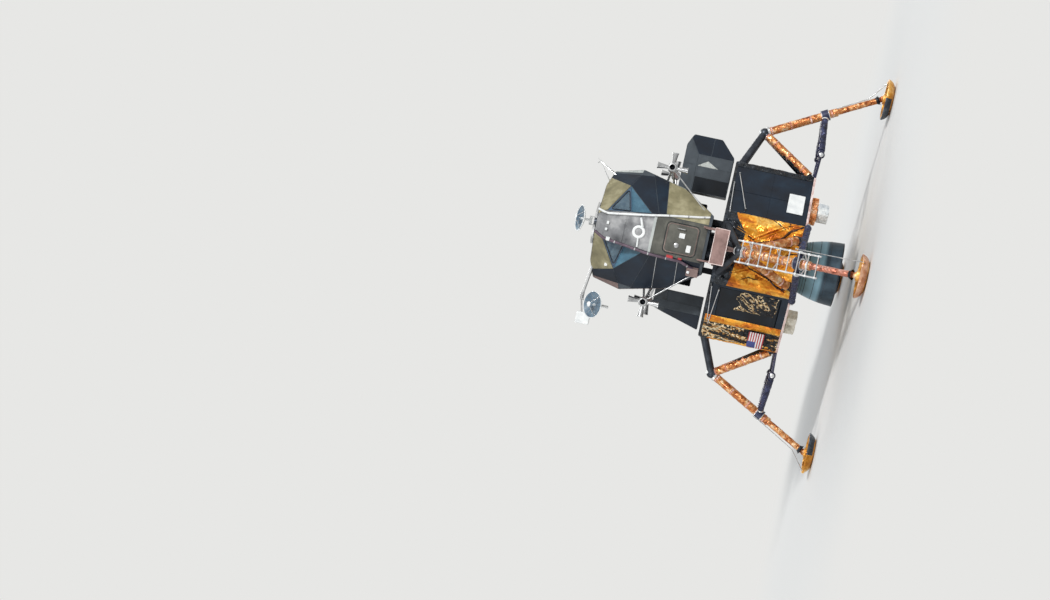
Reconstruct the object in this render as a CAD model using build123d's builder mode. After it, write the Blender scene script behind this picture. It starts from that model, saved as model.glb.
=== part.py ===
from build123d import *

import os
from math import cos, hypot, radians, sin, sqrt, tan

os.makedirs("parts", exist_ok=True)

# Two-stage lunar lander standing on its four footpads, in millimetres.
# +Z is up, the ladder and the hatch face -Y, and the origin is on the ground between the footpads.

# Fits
SEAT = 0.3              # gap that a curved seat keeps
RUNNING = 0.05          # radial gap of a pin in its bore
SWING = 10              # gap round a lid or door that swings

# Descent stage
STAGE_REACH = 2060      # centre to each narrow face
STAGE_HALF = 686        # half width of a narrow face
STAGE_BOTTOM = 1400
STAGE_TOP = 3226
SHIELD = 40             # base heat shield
DECK = 30               # top deck blanket
BLANKET = 30            # side blankets
GOLD_WRAP = 110         # how far the foil of a narrow face turns its corners
WELL = 1372             # square engine well
WELL_TOP = 2760
SHIELD_HOLE = 760       # radius of the round hole under the well
DIAGONAL = (STAGE_REACH + STAGE_HALF) / sqrt(2)         # centre to each diagonal face
DARK_HALF = (STAGE_REACH - STAGE_HALF) / sqrt(2) - sqrt(2) * GOLD_WRAP

# Boxes under the heat shield: side, middle in from the diagonal face and along it, half length, half depth,
# drop, height
LOWER_BOXES = (
    (1, 241.7, 100, 330, 150, 0, 170),
    (1, 241.7, 100, 190, 140, 170, 260),
    (-1, 241.7, 146, 260, 150, 0, 250),
)
LOWER_CHAMFER = 18

# Equipment bay in the left front diagonal face, and its door that folds down
BAY_MARGIN = 81         # dark panel left between the bay and the front's foil
BAY_WIDTH = 920
BAY_ALONG = DARK_HALF - BAY_MARGIN - BAY_WIDTH / 2      # the bay's middle from the face's middle
BAY_BOTTOM = 1560
BAY_TOP = 2960
BAY_DEPTH = 520
DOOR_THICK = 60
DOOR_PIN = 12
DOOR_PIN_REACH = 30     # how far the door's pins enter the bay's sides
PALLET_DEPTH = 270
PALLETS = ((-215, 2420, 400, 620), (215, 2210, 400, 760))   # from the bay's middle, height, width, length

DOOR_AXIS = BAY_BOTTOM + DOOR_THICK / 2 + SWING

# Descent engine in its gimbal ring
GIMBAL_Z = 2150
RING_INNER = 320
RING_OUTER = 375
RING_HALF = 45
TRUNNION = 25           # radius of the trunnion pins
TRUNNION_END = 560      # how far the ring's pins reach from the axis
BRACKET = 500           # inner end of the trunnion brackets
BRACKET_HALF = 70
CHAMBER = 215
CHAMBER_TOP = 2520
THROAT = 105
THROAT_Z = 2000
BELL_EXIT = 750
BELL_RIM_Z = 360
BELL_MID = (590, 1180)  # radius and height of a point on the bell's curve
BELL_WALL = 14

# Landing gear, in a leg's own frame: x outwards, y across, z up
KNEE = (2890, 0, 2735)
PAD_REACH = 4230
PAD_RADIUS = 470
PAD_RIM_Z = 185
PAD_FLAT = 250          # radius of the pad's flat sole
PAD_FLOOR = 65          # thickness of the sole
PAD_WALL = 34
BALL_Z = 235
BALL = 75
PAD_BOSS = 112
KNEE_BALL = 118
OUTRIGGER = 88
FOOT_ACROSS = 520       # y of the four outrigger feet
FOOT_HIGH = 3090
FOOT_LOW = 1530
FOOT_PLATE = 210
FOOT_THICK = 24
STRUT_UPPER = 88
STRUT_LOWER = 62
STRUT_UPPER_LENGTH = 1760
COLLAR_DOWN = 1463      # knee to the collar of the secondary struts
COLLAR_RADIUS = 130
COLLAR_LENGTH = 170
SECONDARY = 66
TRUSS_REACH = 2600
TRUSS_ACROSS = 820
TRUSS_Z = 1370
TRUSS_BALL = 82
TRUSS_TUBE = 28
TRUSS_FOOT_Z = 1390
TRUSS_FEET = (260, 600) # y of the truss's feet on each side

# Contact probes
PROBE_ACROSS = 300      # y of the plane that a probe swings in
PROBE_HINGE_OUT = 72    # hinge outside the pad's rim
PROBE_HINGE_Z = 170
PROBE_CRANK = 585
PROBE_ROD = 1176
PROBE_FOLD = 142        # direction of the folded crank, degrees up from outwards
PROBE_KINK = 23         # bend between crank and rod
PROBE_ROD_RADIUS = 10
PROBE_BEND = 120
PROBE_DISCS = ((30, 42, 22), (210, 18, 20))     # back from the tip, thickness, radius
PROBE_EYE = 26
PROBE_PIN = 9
PROBE_EYE_HALF = 11
EAR = 12
EAR_GAP = 2

# Ladder and porch
RAIL_ACROSS = 235
RAIL_OFF = 250          # rails outside the primary strut's axis
RAIL_RADIUS = 20
RAIL_START = 60         # along the strut from the knee
RAIL_TAIL = 60          # rails past the lowest rung
RUNG_RADIUS = 15
RUNG_PITCH = 230
RUNGS = 9
RUNG_FIRST = 180
RAIL_END = RUNG_FIRST + (RUNGS - 1) * RUNG_PITCH + RAIL_TAIL
STANDOFFS = (330, 1010, 1690)
PORCH_WIDTH = 800
PORCH_TOP = 3340
PORCH_THICK = 60
PORCH_START = 180       # how far the porch starts behind the stage's face
PORCH_REACH = 3190
PORCH_LIP = 320
PORCH_LIP_THICK = 40
PORCH_ROUND = 35
PORCH_RAIL = 260
PORCH_RAIL_SHORT = 300  # the rails end this far behind the lip
PORCH_TUBE = 16
PORCH_INSET = 30        # rails inside the porch's sides
PORCH_FOOT = 60         # half width of the feet on the deck
PROP_ACROSS = 60
PROP_BACK = 40
PROP_RADIUS = 30

# Ascent stage
WALL = 60
FLOOR = 60
CABIN_BOTTOM = 3460
CABIN_TOP = 6030
CABIN_FRONT = -2000
CABIN_BACK = -540
CABIN_HALF = 1400
FRONT_JOINT = -1250     # where the front panels meet the side panels
MID_HALF = 1180
MID_TOP = 5900
MID_BACK = 1050
PASSAGE_HALF = 800      # doorway from the cabin to the midsection
PASSAGE_TOP = 5650
AFT_HALF = 1000
AFT_BACK = 1720
AFT_BOTTOM = 3700
AFT_TOP = 5480
BULGE_FRONT = CABIN_BACK + SEAT
BULGE_BACK = 640
BULGE_BOTTOM = 3300
BULGE_TOP = 4440
BULGE_RIGHT = 2510      # how far the right bulge reaches from the middle
BULGE_LEFT = 2010
POST_SQUARE = 130       # posts between the stages
POST_PLACES = ((-560, -1300), (560, -1300), (-560, 880), (560, 880))
ROOF_WINDOW = (510, -1100, 720, -760)   # docking window: low x and y, high x and y
ROOF_RIM = 20           # rim that carries its pane

# Console under the windows, on two legs
CONSOLE_HALF = 520
CONSOLE_FRONT = -1760
CONSOLE_BACK = -1440
CONSOLE_BOTTOM = 4500
CONSOLE_EDGE = 90       # height of its edge towards the crew
CONSOLE_TOP = 4780
CONSOLE_SHELF = 160     # depth of its flat top
CONSOLE_LEG = 60

# Hatches
HATCH_WIDTH = 690
HATCH_BOTTOM = 3690
HATCH_HEIGHT = 740
HATCH_CORNER = 90
HATCH_SUNK = 10         # outer face of the hatch behind the skin
HATCH_THICK = 50
HINGE_PIN = 9
HINGE_IN = 20           # hinge line inside the wall's inner face
HINGE_OUT = 30          # forward hatch's hinge line beyond its edge
HINGE_HALF = 30         # half height of the hinge block on the wall
HINGE_LUG = 12
HINGE_FROM_END = 90     # hinges from the hatch's ends
KNUCKLE = 16
KNUCKLE_FROM = 48       # hatch's knuckles from the middle of a hinge
HATCH_STRAP = 110       # length of the hatch's hinge straps
LID_HINGE_OUT = 18      # overhead hatch's hinge line beyond the bore
LID_LUG = 110
LID_KNUCKLE = 70
LID_STEP = 22           # inner step of the overhead hatch
TUNNEL_BORE = 405
TUNNEL_OUTER = 465
TUNNEL_FOOT = 525
TUNNEL_FLANGE = 500
TUNNEL_TOP = 6185
LID_THICK = 48
DROGUE_SMALL = 60
DROGUE_SUNK = 10        # rim below the ring's face
DROGUE_RIM = 20
DROGUE_DROP = 230
DROGUE_WALL = 12

# Ascent engine, closed in: one plain block
APS_RADIUS = 360
APS_BOTTOM = 3290
APS_TOP = 4250

# Thruster quads
QUAD = 1560
QUAD_Z = 4610
QUAD_HALF = 95
NOZZLE_LENGTH = 270
NOZZLE_THROAT = 26
NOZZLE_EXIT = 72
NOZZLE_WALL = 8
NOZZLE_BACK = 40        # closed end of a nozzle
NOZZLE_SUNK = 12        # nozzle's root inside the hub
QUAD_CHAMFER = 22
ARM = 26
BRACE = 17
BRACE_OFF = 40          # brace below and inside the hub's middle
BRACE_END = (600, -1760, 3500)

# Rendezvous radar
RADAR_Y = -1690
RADAR_PIVOT = 6175
RADAR_OFFSET = 165
RADAR_DISH = 300
RADAR_DEPTH = 90
RADAR_LIFT = 68         # elevation of the dish as parked, degrees
RADAR_DROP = 87         # yoke's plate below the trunnion
RADAR_PLATE = 18
RADAR_DISC = 60
RADAR_BASE = 88
RADAR_SHAFT = 20
RADAR_HUB = 34
RADAR_STEM = 28
RADAR_PIN = 12
YOKE_REACH = 104
YOKE_ARM = 20
YOKE_HALF = 26
YOKE_GAP = 6            # hub clear of the yoke's arms

# Steerable antenna
BOOM_ROOT = (-900, -900, 5950)
BOOM_END = (-1690, -900, 6050)
BOOM_RADIUS = 36
BOOM_BRACE = ((-960, -570, 5930), (-1530, -900, 6040), 18)      # two ends and radius
BOOM_HUB = 46
BOOM_HUB_HALF = 35
HEAD_HUB = 44
HEAD_HUB_LENGTH = 99
HEAD_PIN = 20           # the boom's pin, which the head turns on
HEAD_PIN_LENGTH = 90
HEAD = (-1870, -1140, 5460)     # where the dish turns on the head
HEAD_ARM = 24
HEAD_CASE = ((-2370, -950, 5780), (-2110, -750, 6080))
YAW_HALF = 70           # half height of the dish's hub
YAW_HUB = 32
YAW_PIN = 16
STEER_DISH = 310
STEER_DEPTH = 92
STEER_OFFSET = 300
STEER_STEM = 20
STEER_WAY = (-0.02, -0.70, 0.71)    # where the parked dish points
DISH_WALL = 10

# Whip antenna
WHIP_TOP = (1400, -1000, 6290)
WHIP_FEET = ((930, -820, 5950), (1150, -1180, 5860), (1180, -760, 5850))
WHIP_LEG = 11
WHIP_CAP = 28
WHIP_CAP_HALF = 22
WHIP_RODS = ((60, 0, 70), (-50, 60, 50), (-50, -60, 50))
WHIP_ROD = 7


def tube(start, end, radius, mode=Mode.ADD):
    """A round bar between two points."""
    axis = Vector(*end) - Vector(*start)
    with BuildSketch(Plane(Vector(*start), z_dir=axis)) as section:
        Circle(radius)
    extrude(section.sketch, amount=axis.length, mode=mode)


def beam(start, end, radius, extra, mode=Mode.ADD):
    """A round bar that starts before its first point by extra."""
    way = (Vector(*end) - Vector(*start)).normalized() * extra
    tube(tuple(Vector(*start) - way), end, radius, mode)


def block(low, high, mode=Mode.ADD):
    """A box between two corners."""
    low, high = Vector(*low), Vector(*high)
    size = high - low
    with Locations((low + high) * 0.5):
        Box(size.X, size.Y, size.Z, mode=mode)


def ball(centre, radius, mode=Mode.ADD):
    """A sphere at a point."""
    with Locations(Vector(*centre)):
        Sphere(radius, mode=mode)


def finish(part, name, turn=0):
    """Turns a piece about the craft's own axis, labels it and writes it."""
    piece = part.rotate(Axis.Z, turn) if turn else part
    piece.label = name
    export_step(piece, f"parts/{name}.step")
    return piece


def octagon(grow=0.0):
    """The stage's outline, moved outwards by grow."""
    corner = STAGE_HALF + grow * tan(radians(22.5))
    reach = STAGE_REACH + grow
    with BuildLine() as outline:
        Polyline(
            (corner, -reach), (reach, -corner), (reach, corner), (corner, reach),
            (-corner, reach), (-reach, corner), (-reach, -corner), (-corner, -reach),
            close=True,
        )
    make_face(outline.edges())


def faceted(low, high, facets, inset=0.0):
    """A box cut by tilted planes, each given by a point and an outward normal."""
    with BuildPart() as body:
        block(low, high)
        for point, normal in facets:
            outward = Vector(*normal).normalized()
            cut = Plane(Vector(*point) - outward * inset, z_dir=outward)
            split(bisect_by=cut, keep=Keep.BOTTOM)
    return body.part


def mirrored(facets):
    """The same planes on both sides of the craft."""
    other = [((-x, y, z), (-a, b, c)) for (x, y, z), (a, b, c) in facets]
    return list(facets) + other


# Cabin facets on the +X side: a point and the outward normal
CABIN_SIDE = (
    ((0, -2000, 4700), (0, -0.990, 0.139)),         # centre face leans back above the hatch
    ((440, -2000, 4650), (0.636, -0.771, 0.0)),     # lower front panel
    ((430, -2000, 4700), (0.598, -0.800, 0.170)),   # window panel
    ((300, -1855, 5840), (0.649, -0.577, 0.497)),   # brow over the window
    ((930, -1000, 6015), (0.316, 0.0, 0.949)),      # roof edge
    ((1400, 0, 5240), (0.977, 0.0, 0.211)),         # side above the waist
    ((1400, 0, 5240), (0.973, 0.0, -0.232)),        # side below the waist
    ((1230, 0, 4330), (0.845, 0.0, -0.534)),        # side that closes in to the floor
)
MID_SIDE = (
    ((950, 0, MID_TOP), (0.5, 0.0, 0.866)),
    ((1180, 0, 4300), (0.845, 0.0, -0.534)),
)
AFT_SIDE = (
    ((820, 0, AFT_TOP), (0.6, 0.0, 0.8)),
    ((820, AFT_BACK, 0), (0.7, 0.7, 0.0)),
    ((0, AFT_BACK - 120, AFT_TOP), (0.0, 0.7, 0.7)),
    ((0, AFT_BACK - 160, AFT_BOTTOM), (0.0, 0.7, -0.7)),
)
RIGHT_BULGE = (
    ((BULGE_RIGHT, 0, 3650), (0.67, 0.0, -0.74)),
    ((2300, 0, 4420), (0.45, 0.0, 0.89)),
    ((2060, BULGE_FRONT, 3950), (0.62, -0.78, 0.0)),
    ((2060, BULGE_BACK, 3950), (0.62, 0.78, 0.0)),
    ((2000, BULGE_FRONT, 4120), (0.0, -0.62, 0.78)),
    ((2000, BULGE_BACK, 4120), (0.0, 0.62, 0.78)),
)
LEFT_BULGE = (
    ((-1660, 0, 4320), (-0.962, 0.0, 0.274)),
    ((-1560, 0, 4420), (-0.45, 0.0, 0.89)),
    ((-1620, BULGE_FRONT, 3950), (-0.62, -0.78, 0.0)),
    ((-1620, BULGE_BACK, 3950), (-0.62, 0.78, 0.0)),
    ((-1500, BULGE_FRONT, 4120), (0.0, -0.62, 0.78)),
    ((-1500, BULGE_BACK, 4120), (0.0, 0.62, 0.78)),
)

# Window recess on the +X side: three corners on the skin and the deep one
RECESS_TOP = Vector(300, -1855, 5840)
RECESS_OUTER = Vector(970, -1437, 5450)
RECESS_LOW = Vector(440, -1965, 4830)
RECESS_DEEP = Vector(360, -1627, 5290)
RECESS_SPARE = 200      # room round the recess where its box is cut
PANE_SCALE = 0.78       # glass against its facet
LIGHT_SCALE = 0.68      # clear opening against its facet
PANE_THICK = 14
PANE_ROUND = 28
PANE_SUNK = 6           # roof pane below the skin


def descent_core():
    """Solid octagonal body with the engine well, its trunnion brackets and the equipment bay."""
    with BuildPart() as core:
        with BuildSketch(Plane.XY.offset(STAGE_BOTTOM)) as outline:
            octagon(-BLANKET)
        extrude(amount=STAGE_TOP - DECK - STAGE_BOTTOM)
        with BuildSketch(Plane.XY.offset(STAGE_BOTTOM)):
            Rectangle(WELL, WELL)
        extrude(amount=WELL_TOP - STAGE_BOTTOM, mode=Mode.SUBTRACT)
        for side in (-1, 1):
            near, far = sorted((side * BRACKET, side * WELL / 2))
            block((near, -BRACKET_HALF, GIMBAL_Z - BRACKET_HALF),
                  (far, BRACKET_HALF, GIMBAL_Z + BRACKET_HALF))
        with BuildSketch(Plane.YZ.offset(-WELL / 2)):
            with Locations((0, GIMBAL_Z)):
                Circle(TRUNNION + RUNNING)
        extrude(amount=WELL, mode=Mode.SUBTRACT)
        cut_bay()
    return core.part


def bay_plane(out):
    """Upright plane on the left front diagonal, out from the skin: x to the front, y up from the ground."""
    normal = Vector(-1, -1, 0).normalized()
    return Plane(origin=normal * (DIAGONAL + out), x_dir=(1, -1, 0), z_dir=normal)


def cut_bay():
    """The equipment bay and the bores of its door's pins."""
    with BuildSketch(bay_plane(0)) as mouth:
        with Locations((BAY_ALONG, (BAY_BOTTOM + BAY_TOP) / 2)):
            Rectangle(BAY_WIDTH, BAY_TOP - BAY_BOTTOM)
    extrude(mouth.sketch, amount=-BAY_DEPTH, mode=Mode.SUBTRACT)
    with BuildSketch(hinge_plane()) as bore:
        Circle(DOOR_PIN + RUNNING)
    extrude(bore.sketch, amount=BAY_WIDTH / 2 + DOOR_PIN_REACH + 5, both=True, mode=Mode.SUBTRACT)


def hinge_plane():
    """Plane across the bay door's hinge line, at the middle of the line."""
    face = bay_plane(-DOOR_THICK / 2)
    return Plane(origin=face.from_local_coords((BAY_ALONG, DOOR_AXIS, 0)), x_dir=face.z_dir, z_dir=face.x_dir)


def ring_of_blankets(gold):
    """Blankets on the faces: gold foil on the narrow ones or dark panels on the diagonal ones."""
    wrapped = STAGE_HALF + GOLD_WRAP
    far = STAGE_REACH + 100
    with BuildPart() as ring:
        with BuildSketch(Plane.XY.offset(STAGE_BOTTOM)):
            octagon()
            with BuildSketch(mode=Mode.SUBTRACT):
                octagon(-BLANKET)
            with BuildSketch(mode=Mode.INTERSECT if gold else Mode.SUBTRACT):
                Rectangle(2 * wrapped, 2 * far)
                Rectangle(2 * far, 2 * wrapped)
        extrude(amount=STAGE_TOP - DECK - STAGE_BOTTOM)
        if not gold:
            cut_bay()
    return ring.part


def stage_plate(bottom, thick, hole):
    """A flat plate of the stage's outline, with a round hole or none."""
    with BuildPart() as plate:
        with BuildSketch(Plane.XY.offset(bottom)):
            octagon()
            if hole:
                Circle(hole, mode=Mode.SUBTRACT)
        extrude(amount=thick)
    return plate.part


finish(descent_core(), "descent_core")
finish(stage_plate(STAGE_BOTTOM - SHIELD, SHIELD, SHIELD_HOLE), "base_heat_shield")
finish(stage_plate(STAGE_TOP - DECK, DECK, 0), "top_deck_blanket")
finish(ring_of_blankets(True), "gold_blankets")
finish(ring_of_blankets(False), "dark_panels")

# Boxes under the heat shield, square to the front diagonals; the two on the right hang one below the other
with BuildPart() as lower_boxes:
    for side, inset, along, half_long, half_deep, drop, height in LOWER_BOXES:
        middle = Vector(side, -1, 0).normalized() * (DIAGONAL - inset)
        middle += Vector(0, 0, STAGE_BOTTOM - SHIELD - drop)
        with BuildSketch(Plane(origin=middle, x_dir=(side, 1, 0), z_dir=(0, 0, -1))):
            with Locations((along, 0)):
                Rectangle(2 * half_long, 2 * half_deep)
        extrude(amount=height)
    chamfer(lower_boxes.faces().filter_by(Axis.Z).sort_by(Axis.Z)[:2].edges(), LOWER_CHAMFER)
finish(lower_boxes.part, "lower_boxes")

# Equipment bay door, lying in the face with its pallet behind it, rounded about its hinge line
with BuildPart() as bay_door:
    door_top = BAY_TOP - SWING
    with BuildSketch(bay_plane(-DOOR_THICK)):
        with Locations((BAY_ALONG, (DOOR_AXIS + door_top) / 2)):
            Rectangle(BAY_WIDTH - 2 * SWING, door_top - DOOR_AXIS)
    extrude(amount=DOOR_THICK)
    with BuildSketch(hinge_plane()):
        Circle(DOOR_THICK / 2)
    extrude(amount=BAY_WIDTH / 2 - SWING, both=True)
    with BuildSketch(hinge_plane()):
        Circle(DOOR_PIN)
    extrude(amount=BAY_WIDTH / 2 + DOOR_PIN_REACH, both=True)
    with BuildSketch(bay_plane(-DOOR_THICK)):
        for along, height, width, length in PALLETS:
            with Locations((BAY_ALONG + along, height)):
                Rectangle(width, length)
    extrude(amount=-PALLET_DEPTH)
finish(bay_door.part, "bay_door")

# Gimbal ring: pins along X into the brackets, bores along Y for the engine's pins
with BuildPart() as gimbal_ring:
    with BuildSketch(Plane.XZ):
        with Locations(((RING_INNER + RING_OUTER) / 2, GIMBAL_Z)):
            RectangleRounded(RING_OUTER - RING_INNER, 2 * RING_HALF, 12)
    revolve(axis=Axis.Z)
    for side in (-1, 1):
        tube((side * (RING_OUTER - 20), 0, GIMBAL_Z), (side * TRUNNION_END, 0, GIMBAL_Z), TRUNNION)
    with BuildSketch(Plane.XZ.offset(-RING_OUTER - 10)):
        with Locations((0, GIMBAL_Z)):
            Circle(TRUNNION + RUNNING)
    extrude(amount=2 * RING_OUTER + 20, mode=Mode.SUBTRACT)
finish(gimbal_ring.part, "gimbal_ring")

# Descent engine: plain chamber, curved bell open below, pins along Y into the ring
with BuildPart() as descent_engine:
    with BuildSketch(Plane.XZ):
        with BuildLine():
            Polyline((THROAT + BELL_WALL, THROAT_Z), (CHAMBER, THROAT_Z + 120), (CHAMBER, CHAMBER_TOP - 40),
                     (CHAMBER - 60, CHAMBER_TOP), (0, CHAMBER_TOP), (0, THROAT_Z - 20),
                     (THROAT, THROAT_Z - 20))
            ThreePointArc((THROAT, THROAT_Z - 20), BELL_MID, (BELL_EXIT - BELL_WALL, BELL_RIM_Z))
            Line((BELL_EXIT - BELL_WALL, BELL_RIM_Z), (BELL_EXIT, BELL_RIM_Z))
            ThreePointArc((BELL_EXIT, BELL_RIM_Z), (BELL_MID[0] + BELL_WALL, BELL_MID[1] + 8),
                          (THROAT + BELL_WALL, THROAT_Z))
        make_face()
    revolve(axis=Axis.Z)
    for side in (-1, 1):
        tube((0, side * (CHAMBER - 30), GIMBAL_Z), (0, side * (RING_OUTER - 4), GIMBAL_Z), TRUNNION)
finish(descent_engine.part, "descent_engine")

# Along the primary strut from the knee, and square to it on its outer side
STRUT_LENGTH = hypot(PAD_REACH - KNEE[0], KNEE[2] - BALL_Z)
DOWN = ((PAD_REACH - KNEE[0]) / STRUT_LENGTH, (BALL_Z - KNEE[2]) / STRUT_LENGTH)
OUT = (-DOWN[1], DOWN[0])


def on_strut(down, across=0.0, out=0.0):
    """A point by its distance down the primary strut, across it and outside it."""
    return (KNEE[0] + DOWN[0] * down + OUT[0] * out, across, KNEE[2] + DOWN[1] * down + OUT[1] * out)


COLLAR = on_strut(COLLAR_DOWN)
TRUSS_JOINTS = [(TRUSS_REACH, side * TRUSS_ACROSS, TRUSS_Z) for side in (-1, 1)]
PROBE_HINGE_X = PAD_REACH + sqrt(PAD_RADIUS**2 - PROBE_ACROSS**2) + PROBE_HINGE_OUT
PROBE_ELBOW = (
    PROBE_HINGE_X + PROBE_CRANK * cos(radians(PROBE_FOLD)),
    PROBE_ACROSS,
    PROBE_HINGE_Z + PROBE_CRANK * sin(radians(PROBE_FOLD)),
)
PROBE_TIP = (
    PROBE_ELBOW[0] + PROBE_ROD * cos(radians(PROBE_FOLD - PROBE_KINK)),
    PROBE_ACROSS,
    PROBE_ELBOW[2] + PROBE_ROD * sin(radians(PROBE_FOLD - PROBE_KINK)),
)


def outrigger():
    """Four struts from plates on the narrow face to the knee's knuckle."""
    with BuildPart() as truss:
        ball(KNEE, KNEE_BALL)
        for foot_z in (FOOT_HIGH, FOOT_LOW):
            for side in (-1, 1):
                beam((STAGE_REACH, side * FOOT_ACROSS, foot_z), KNEE, OUTRIGGER, 40)
        block((0, -STAGE_REACH, 0), (STAGE_REACH, STAGE_REACH, 2 * STAGE_TOP), mode=Mode.SUBTRACT)
        for foot_z in (FOOT_HIGH, FOOT_LOW):
            for side in (-1, 1):
                with Locations((STAGE_REACH + FOOT_THICK / 2, side * FOOT_ACROSS, foot_z)):
                    Box(FOOT_THICK, FOOT_PLATE, FOOT_PLATE)
    return truss.part


def primary_strut():
    """Outer cylinder, thinner inner cylinder and the ball that sits in the footpad."""
    with BuildPart() as strut:
        tube(KNEE, on_strut(STRUT_UPPER_LENGTH), STRUT_UPPER)
        tube(on_strut(STRUT_UPPER_LENGTH - 10), on_strut(STRUT_LENGTH), STRUT_LOWER)
        ball(KNEE, KNEE_BALL + SEAT, mode=Mode.SUBTRACT)
        for side in (-1, 1):
            tube(KNEE, (STAGE_REACH, side * FOOT_ACROSS, FOOT_LOW), OUTRIGGER + SEAT, mode=Mode.SUBTRACT)
        ball(on_strut(STRUT_LENGTH), BALL)
    return strut.part


def side_struts():
    """Collar, two secondary struts and the truss that carries them, as straight pieces."""
    with BuildPart() as struts:
        for joint in TRUSS_JOINTS:
            tube(COLLAR, joint, SECONDARY)
        with BuildSketch(Plane(COLLAR, z_dir=(DOWN[0], 0, DOWN[1]))) as band:
            Circle(COLLAR_RADIUS + SEAT)
        extrude(band.sketch, amount=2 * COLLAR_LENGTH, both=True, mode=Mode.SUBTRACT)
        for joint in TRUSS_JOINTS:
            ball(joint, TRUSS_BALL + SEAT, mode=Mode.SUBTRACT)
        tube(TRUSS_JOINTS[0], TRUSS_JOINTS[1], TRUSS_TUBE + SEAT, mode=Mode.SUBTRACT)
    with BuildPart() as collar:
        with BuildSketch(Plane(on_strut(COLLAR_DOWN - COLLAR_LENGTH / 2), z_dir=(DOWN[0], 0, DOWN[1]))):
            Circle(COLLAR_RADIUS)
            Circle(STRUT_UPPER + SEAT, mode=Mode.SUBTRACT)
        extrude(amount=COLLAR_LENGTH)
    with BuildPart() as cross:
        tube(TRUSS_JOINTS[0], TRUSS_JOINTS[1], TRUSS_TUBE)
        for joint in TRUSS_JOINTS:
            ball(joint, TRUSS_BALL)
    with BuildPart() as legs:
        for side, joint in zip((-1, 1), TRUSS_JOINTS):
            for foot_y in TRUSS_FEET:
                beam((STAGE_REACH, side * foot_y, TRUSS_FOOT_Z), joint, TRUSS_TUBE, 30)
        block((0, -STAGE_REACH, 0), (STAGE_REACH, STAGE_REACH, STAGE_TOP), mode=Mode.SUBTRACT)
        for joint in TRUSS_JOINTS:
            ball(joint, TRUSS_BALL + SEAT, mode=Mode.SUBTRACT)
    return struts.part + collar.part + cross.part + legs.part


def footpad():
    """Dished pad with the socket of the strut's ball and the ears of the probe's hinge."""
    with BuildPart() as pad:
        with BuildSketch(Plane.XZ):
            with BuildLine():
                Polyline((PAD_RADIUS, PAD_RIM_Z - 12), (PAD_RADIUS, PAD_RIM_Z),
                         (PAD_RADIUS - PAD_WALL, PAD_RIM_Z))
                ThreePointArc((PAD_RADIUS - PAD_WALL, PAD_RIM_Z), (PAD_RADIUS - 85, 105),
                              (PAD_FLAT - 20, PAD_FLOOR))
                Polyline((PAD_FLAT - 20, PAD_FLOOR), (PAD_BOSS + 30, PAD_FLOOR), (PAD_BOSS, BALL_Z),
                         (0, BALL_Z), (0, 0), (PAD_FLAT, 0))
                ThreePointArc((PAD_FLAT, 0), (PAD_RADIUS - 62, 68), (PAD_RADIUS, PAD_RIM_Z - 12))
            make_face()
        revolve(axis=Axis.Z)
        ball((0, 0, BALL_Z), BALL + SEAT, mode=Mode.SUBTRACT)
    with BuildPart() as whole:
        with Locations((PAD_REACH, 0, 0)):
            add(pad.part)
        inner = PROBE_HINGE_X - PROBE_HINGE_OUT - 45
        for side in (-1, 1):
            ear_y = PROBE_ACROSS + side * (PROBE_EYE_HALF + EAR_GAP + EAR / 2)
            with BuildSketch(Plane.XZ.offset(-(ear_y + EAR / 2))) as ear:
                with Locations((PROBE_HINGE_X, PROBE_HINGE_Z)):
                    Circle(PROBE_EYE)
                with Locations(((inner + PROBE_HINGE_X) / 2, PROBE_HINGE_Z)):
                    Rectangle(PROBE_HINGE_X - inner, 2 * PROBE_EYE - 26)
            extrude(ear.sketch, amount=EAR)
        half_pin = PROBE_EYE_HALF + EAR_GAP + EAR - 1
        tube((PROBE_HINGE_X, PROBE_ACROSS - half_pin, PROBE_HINGE_Z),
             (PROBE_HINGE_X, PROBE_ACROSS + half_pin, PROBE_HINGE_Z), PROBE_PIN)
    return whole.part


def probe():
    """Cranked rod folded up beside the strut, with its eye on the footpad's pin."""
    hinge = (PROBE_HINGE_X, PROBE_ACROSS, PROBE_HINGE_Z)
    with BuildPart() as rod:
        tube((PROBE_HINGE_X, PROBE_ACROSS - PROBE_EYE_HALF, PROBE_HINGE_Z),
             (PROBE_HINGE_X, PROBE_ACROSS + PROBE_EYE_HALF, PROBE_HINGE_Z), PROBE_EYE - 4)
        with BuildLine() as bent:
            FilletPolyline(hinge, PROBE_ELBOW, PROBE_TIP, radius=PROBE_BEND)
        with BuildSketch(Plane(hinge, z_dir=Vector(*PROBE_ELBOW) - Vector(*hinge))) as section:
            Circle(PROBE_ROD_RADIUS)
        sweep(section.sketch, path=bent.wires()[0])
        along = (Vector(*PROBE_TIP) - Vector(*PROBE_ELBOW)).normalized()
        for back, thick, radius in PROBE_DISCS:
            start = Vector(*PROBE_TIP) - along * back
            tube(tuple(start), tuple(start + along * thick), radius)
        with BuildSketch(Plane.XZ.offset(-PROBE_ACROSS)) as bore:
            with Locations((PROBE_HINGE_X, PROBE_HINGE_Z)):
                Circle(PROBE_PIN + RUNNING)
        extrude(bore.sketch, amount=2 * PROBE_EYE_HALF, both=True, mode=Mode.SUBTRACT)
    return rod.part


# The four legs: name and turn from +X
LEGS = (("front", -90), ("right", 0), ("aft", 90), ("left", 180))
LEG_PIECES = (
    ("outrigger", outrigger()), ("primary_strut", primary_strut()), ("side_struts", side_struts()),
    ("footpad", footpad()), ("probe", probe()),
)
for leg_name, turn in LEGS:
    for piece_name, piece in LEG_PIECES:
        finish(piece, f"{piece_name}_{leg_name}", turn)

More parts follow.
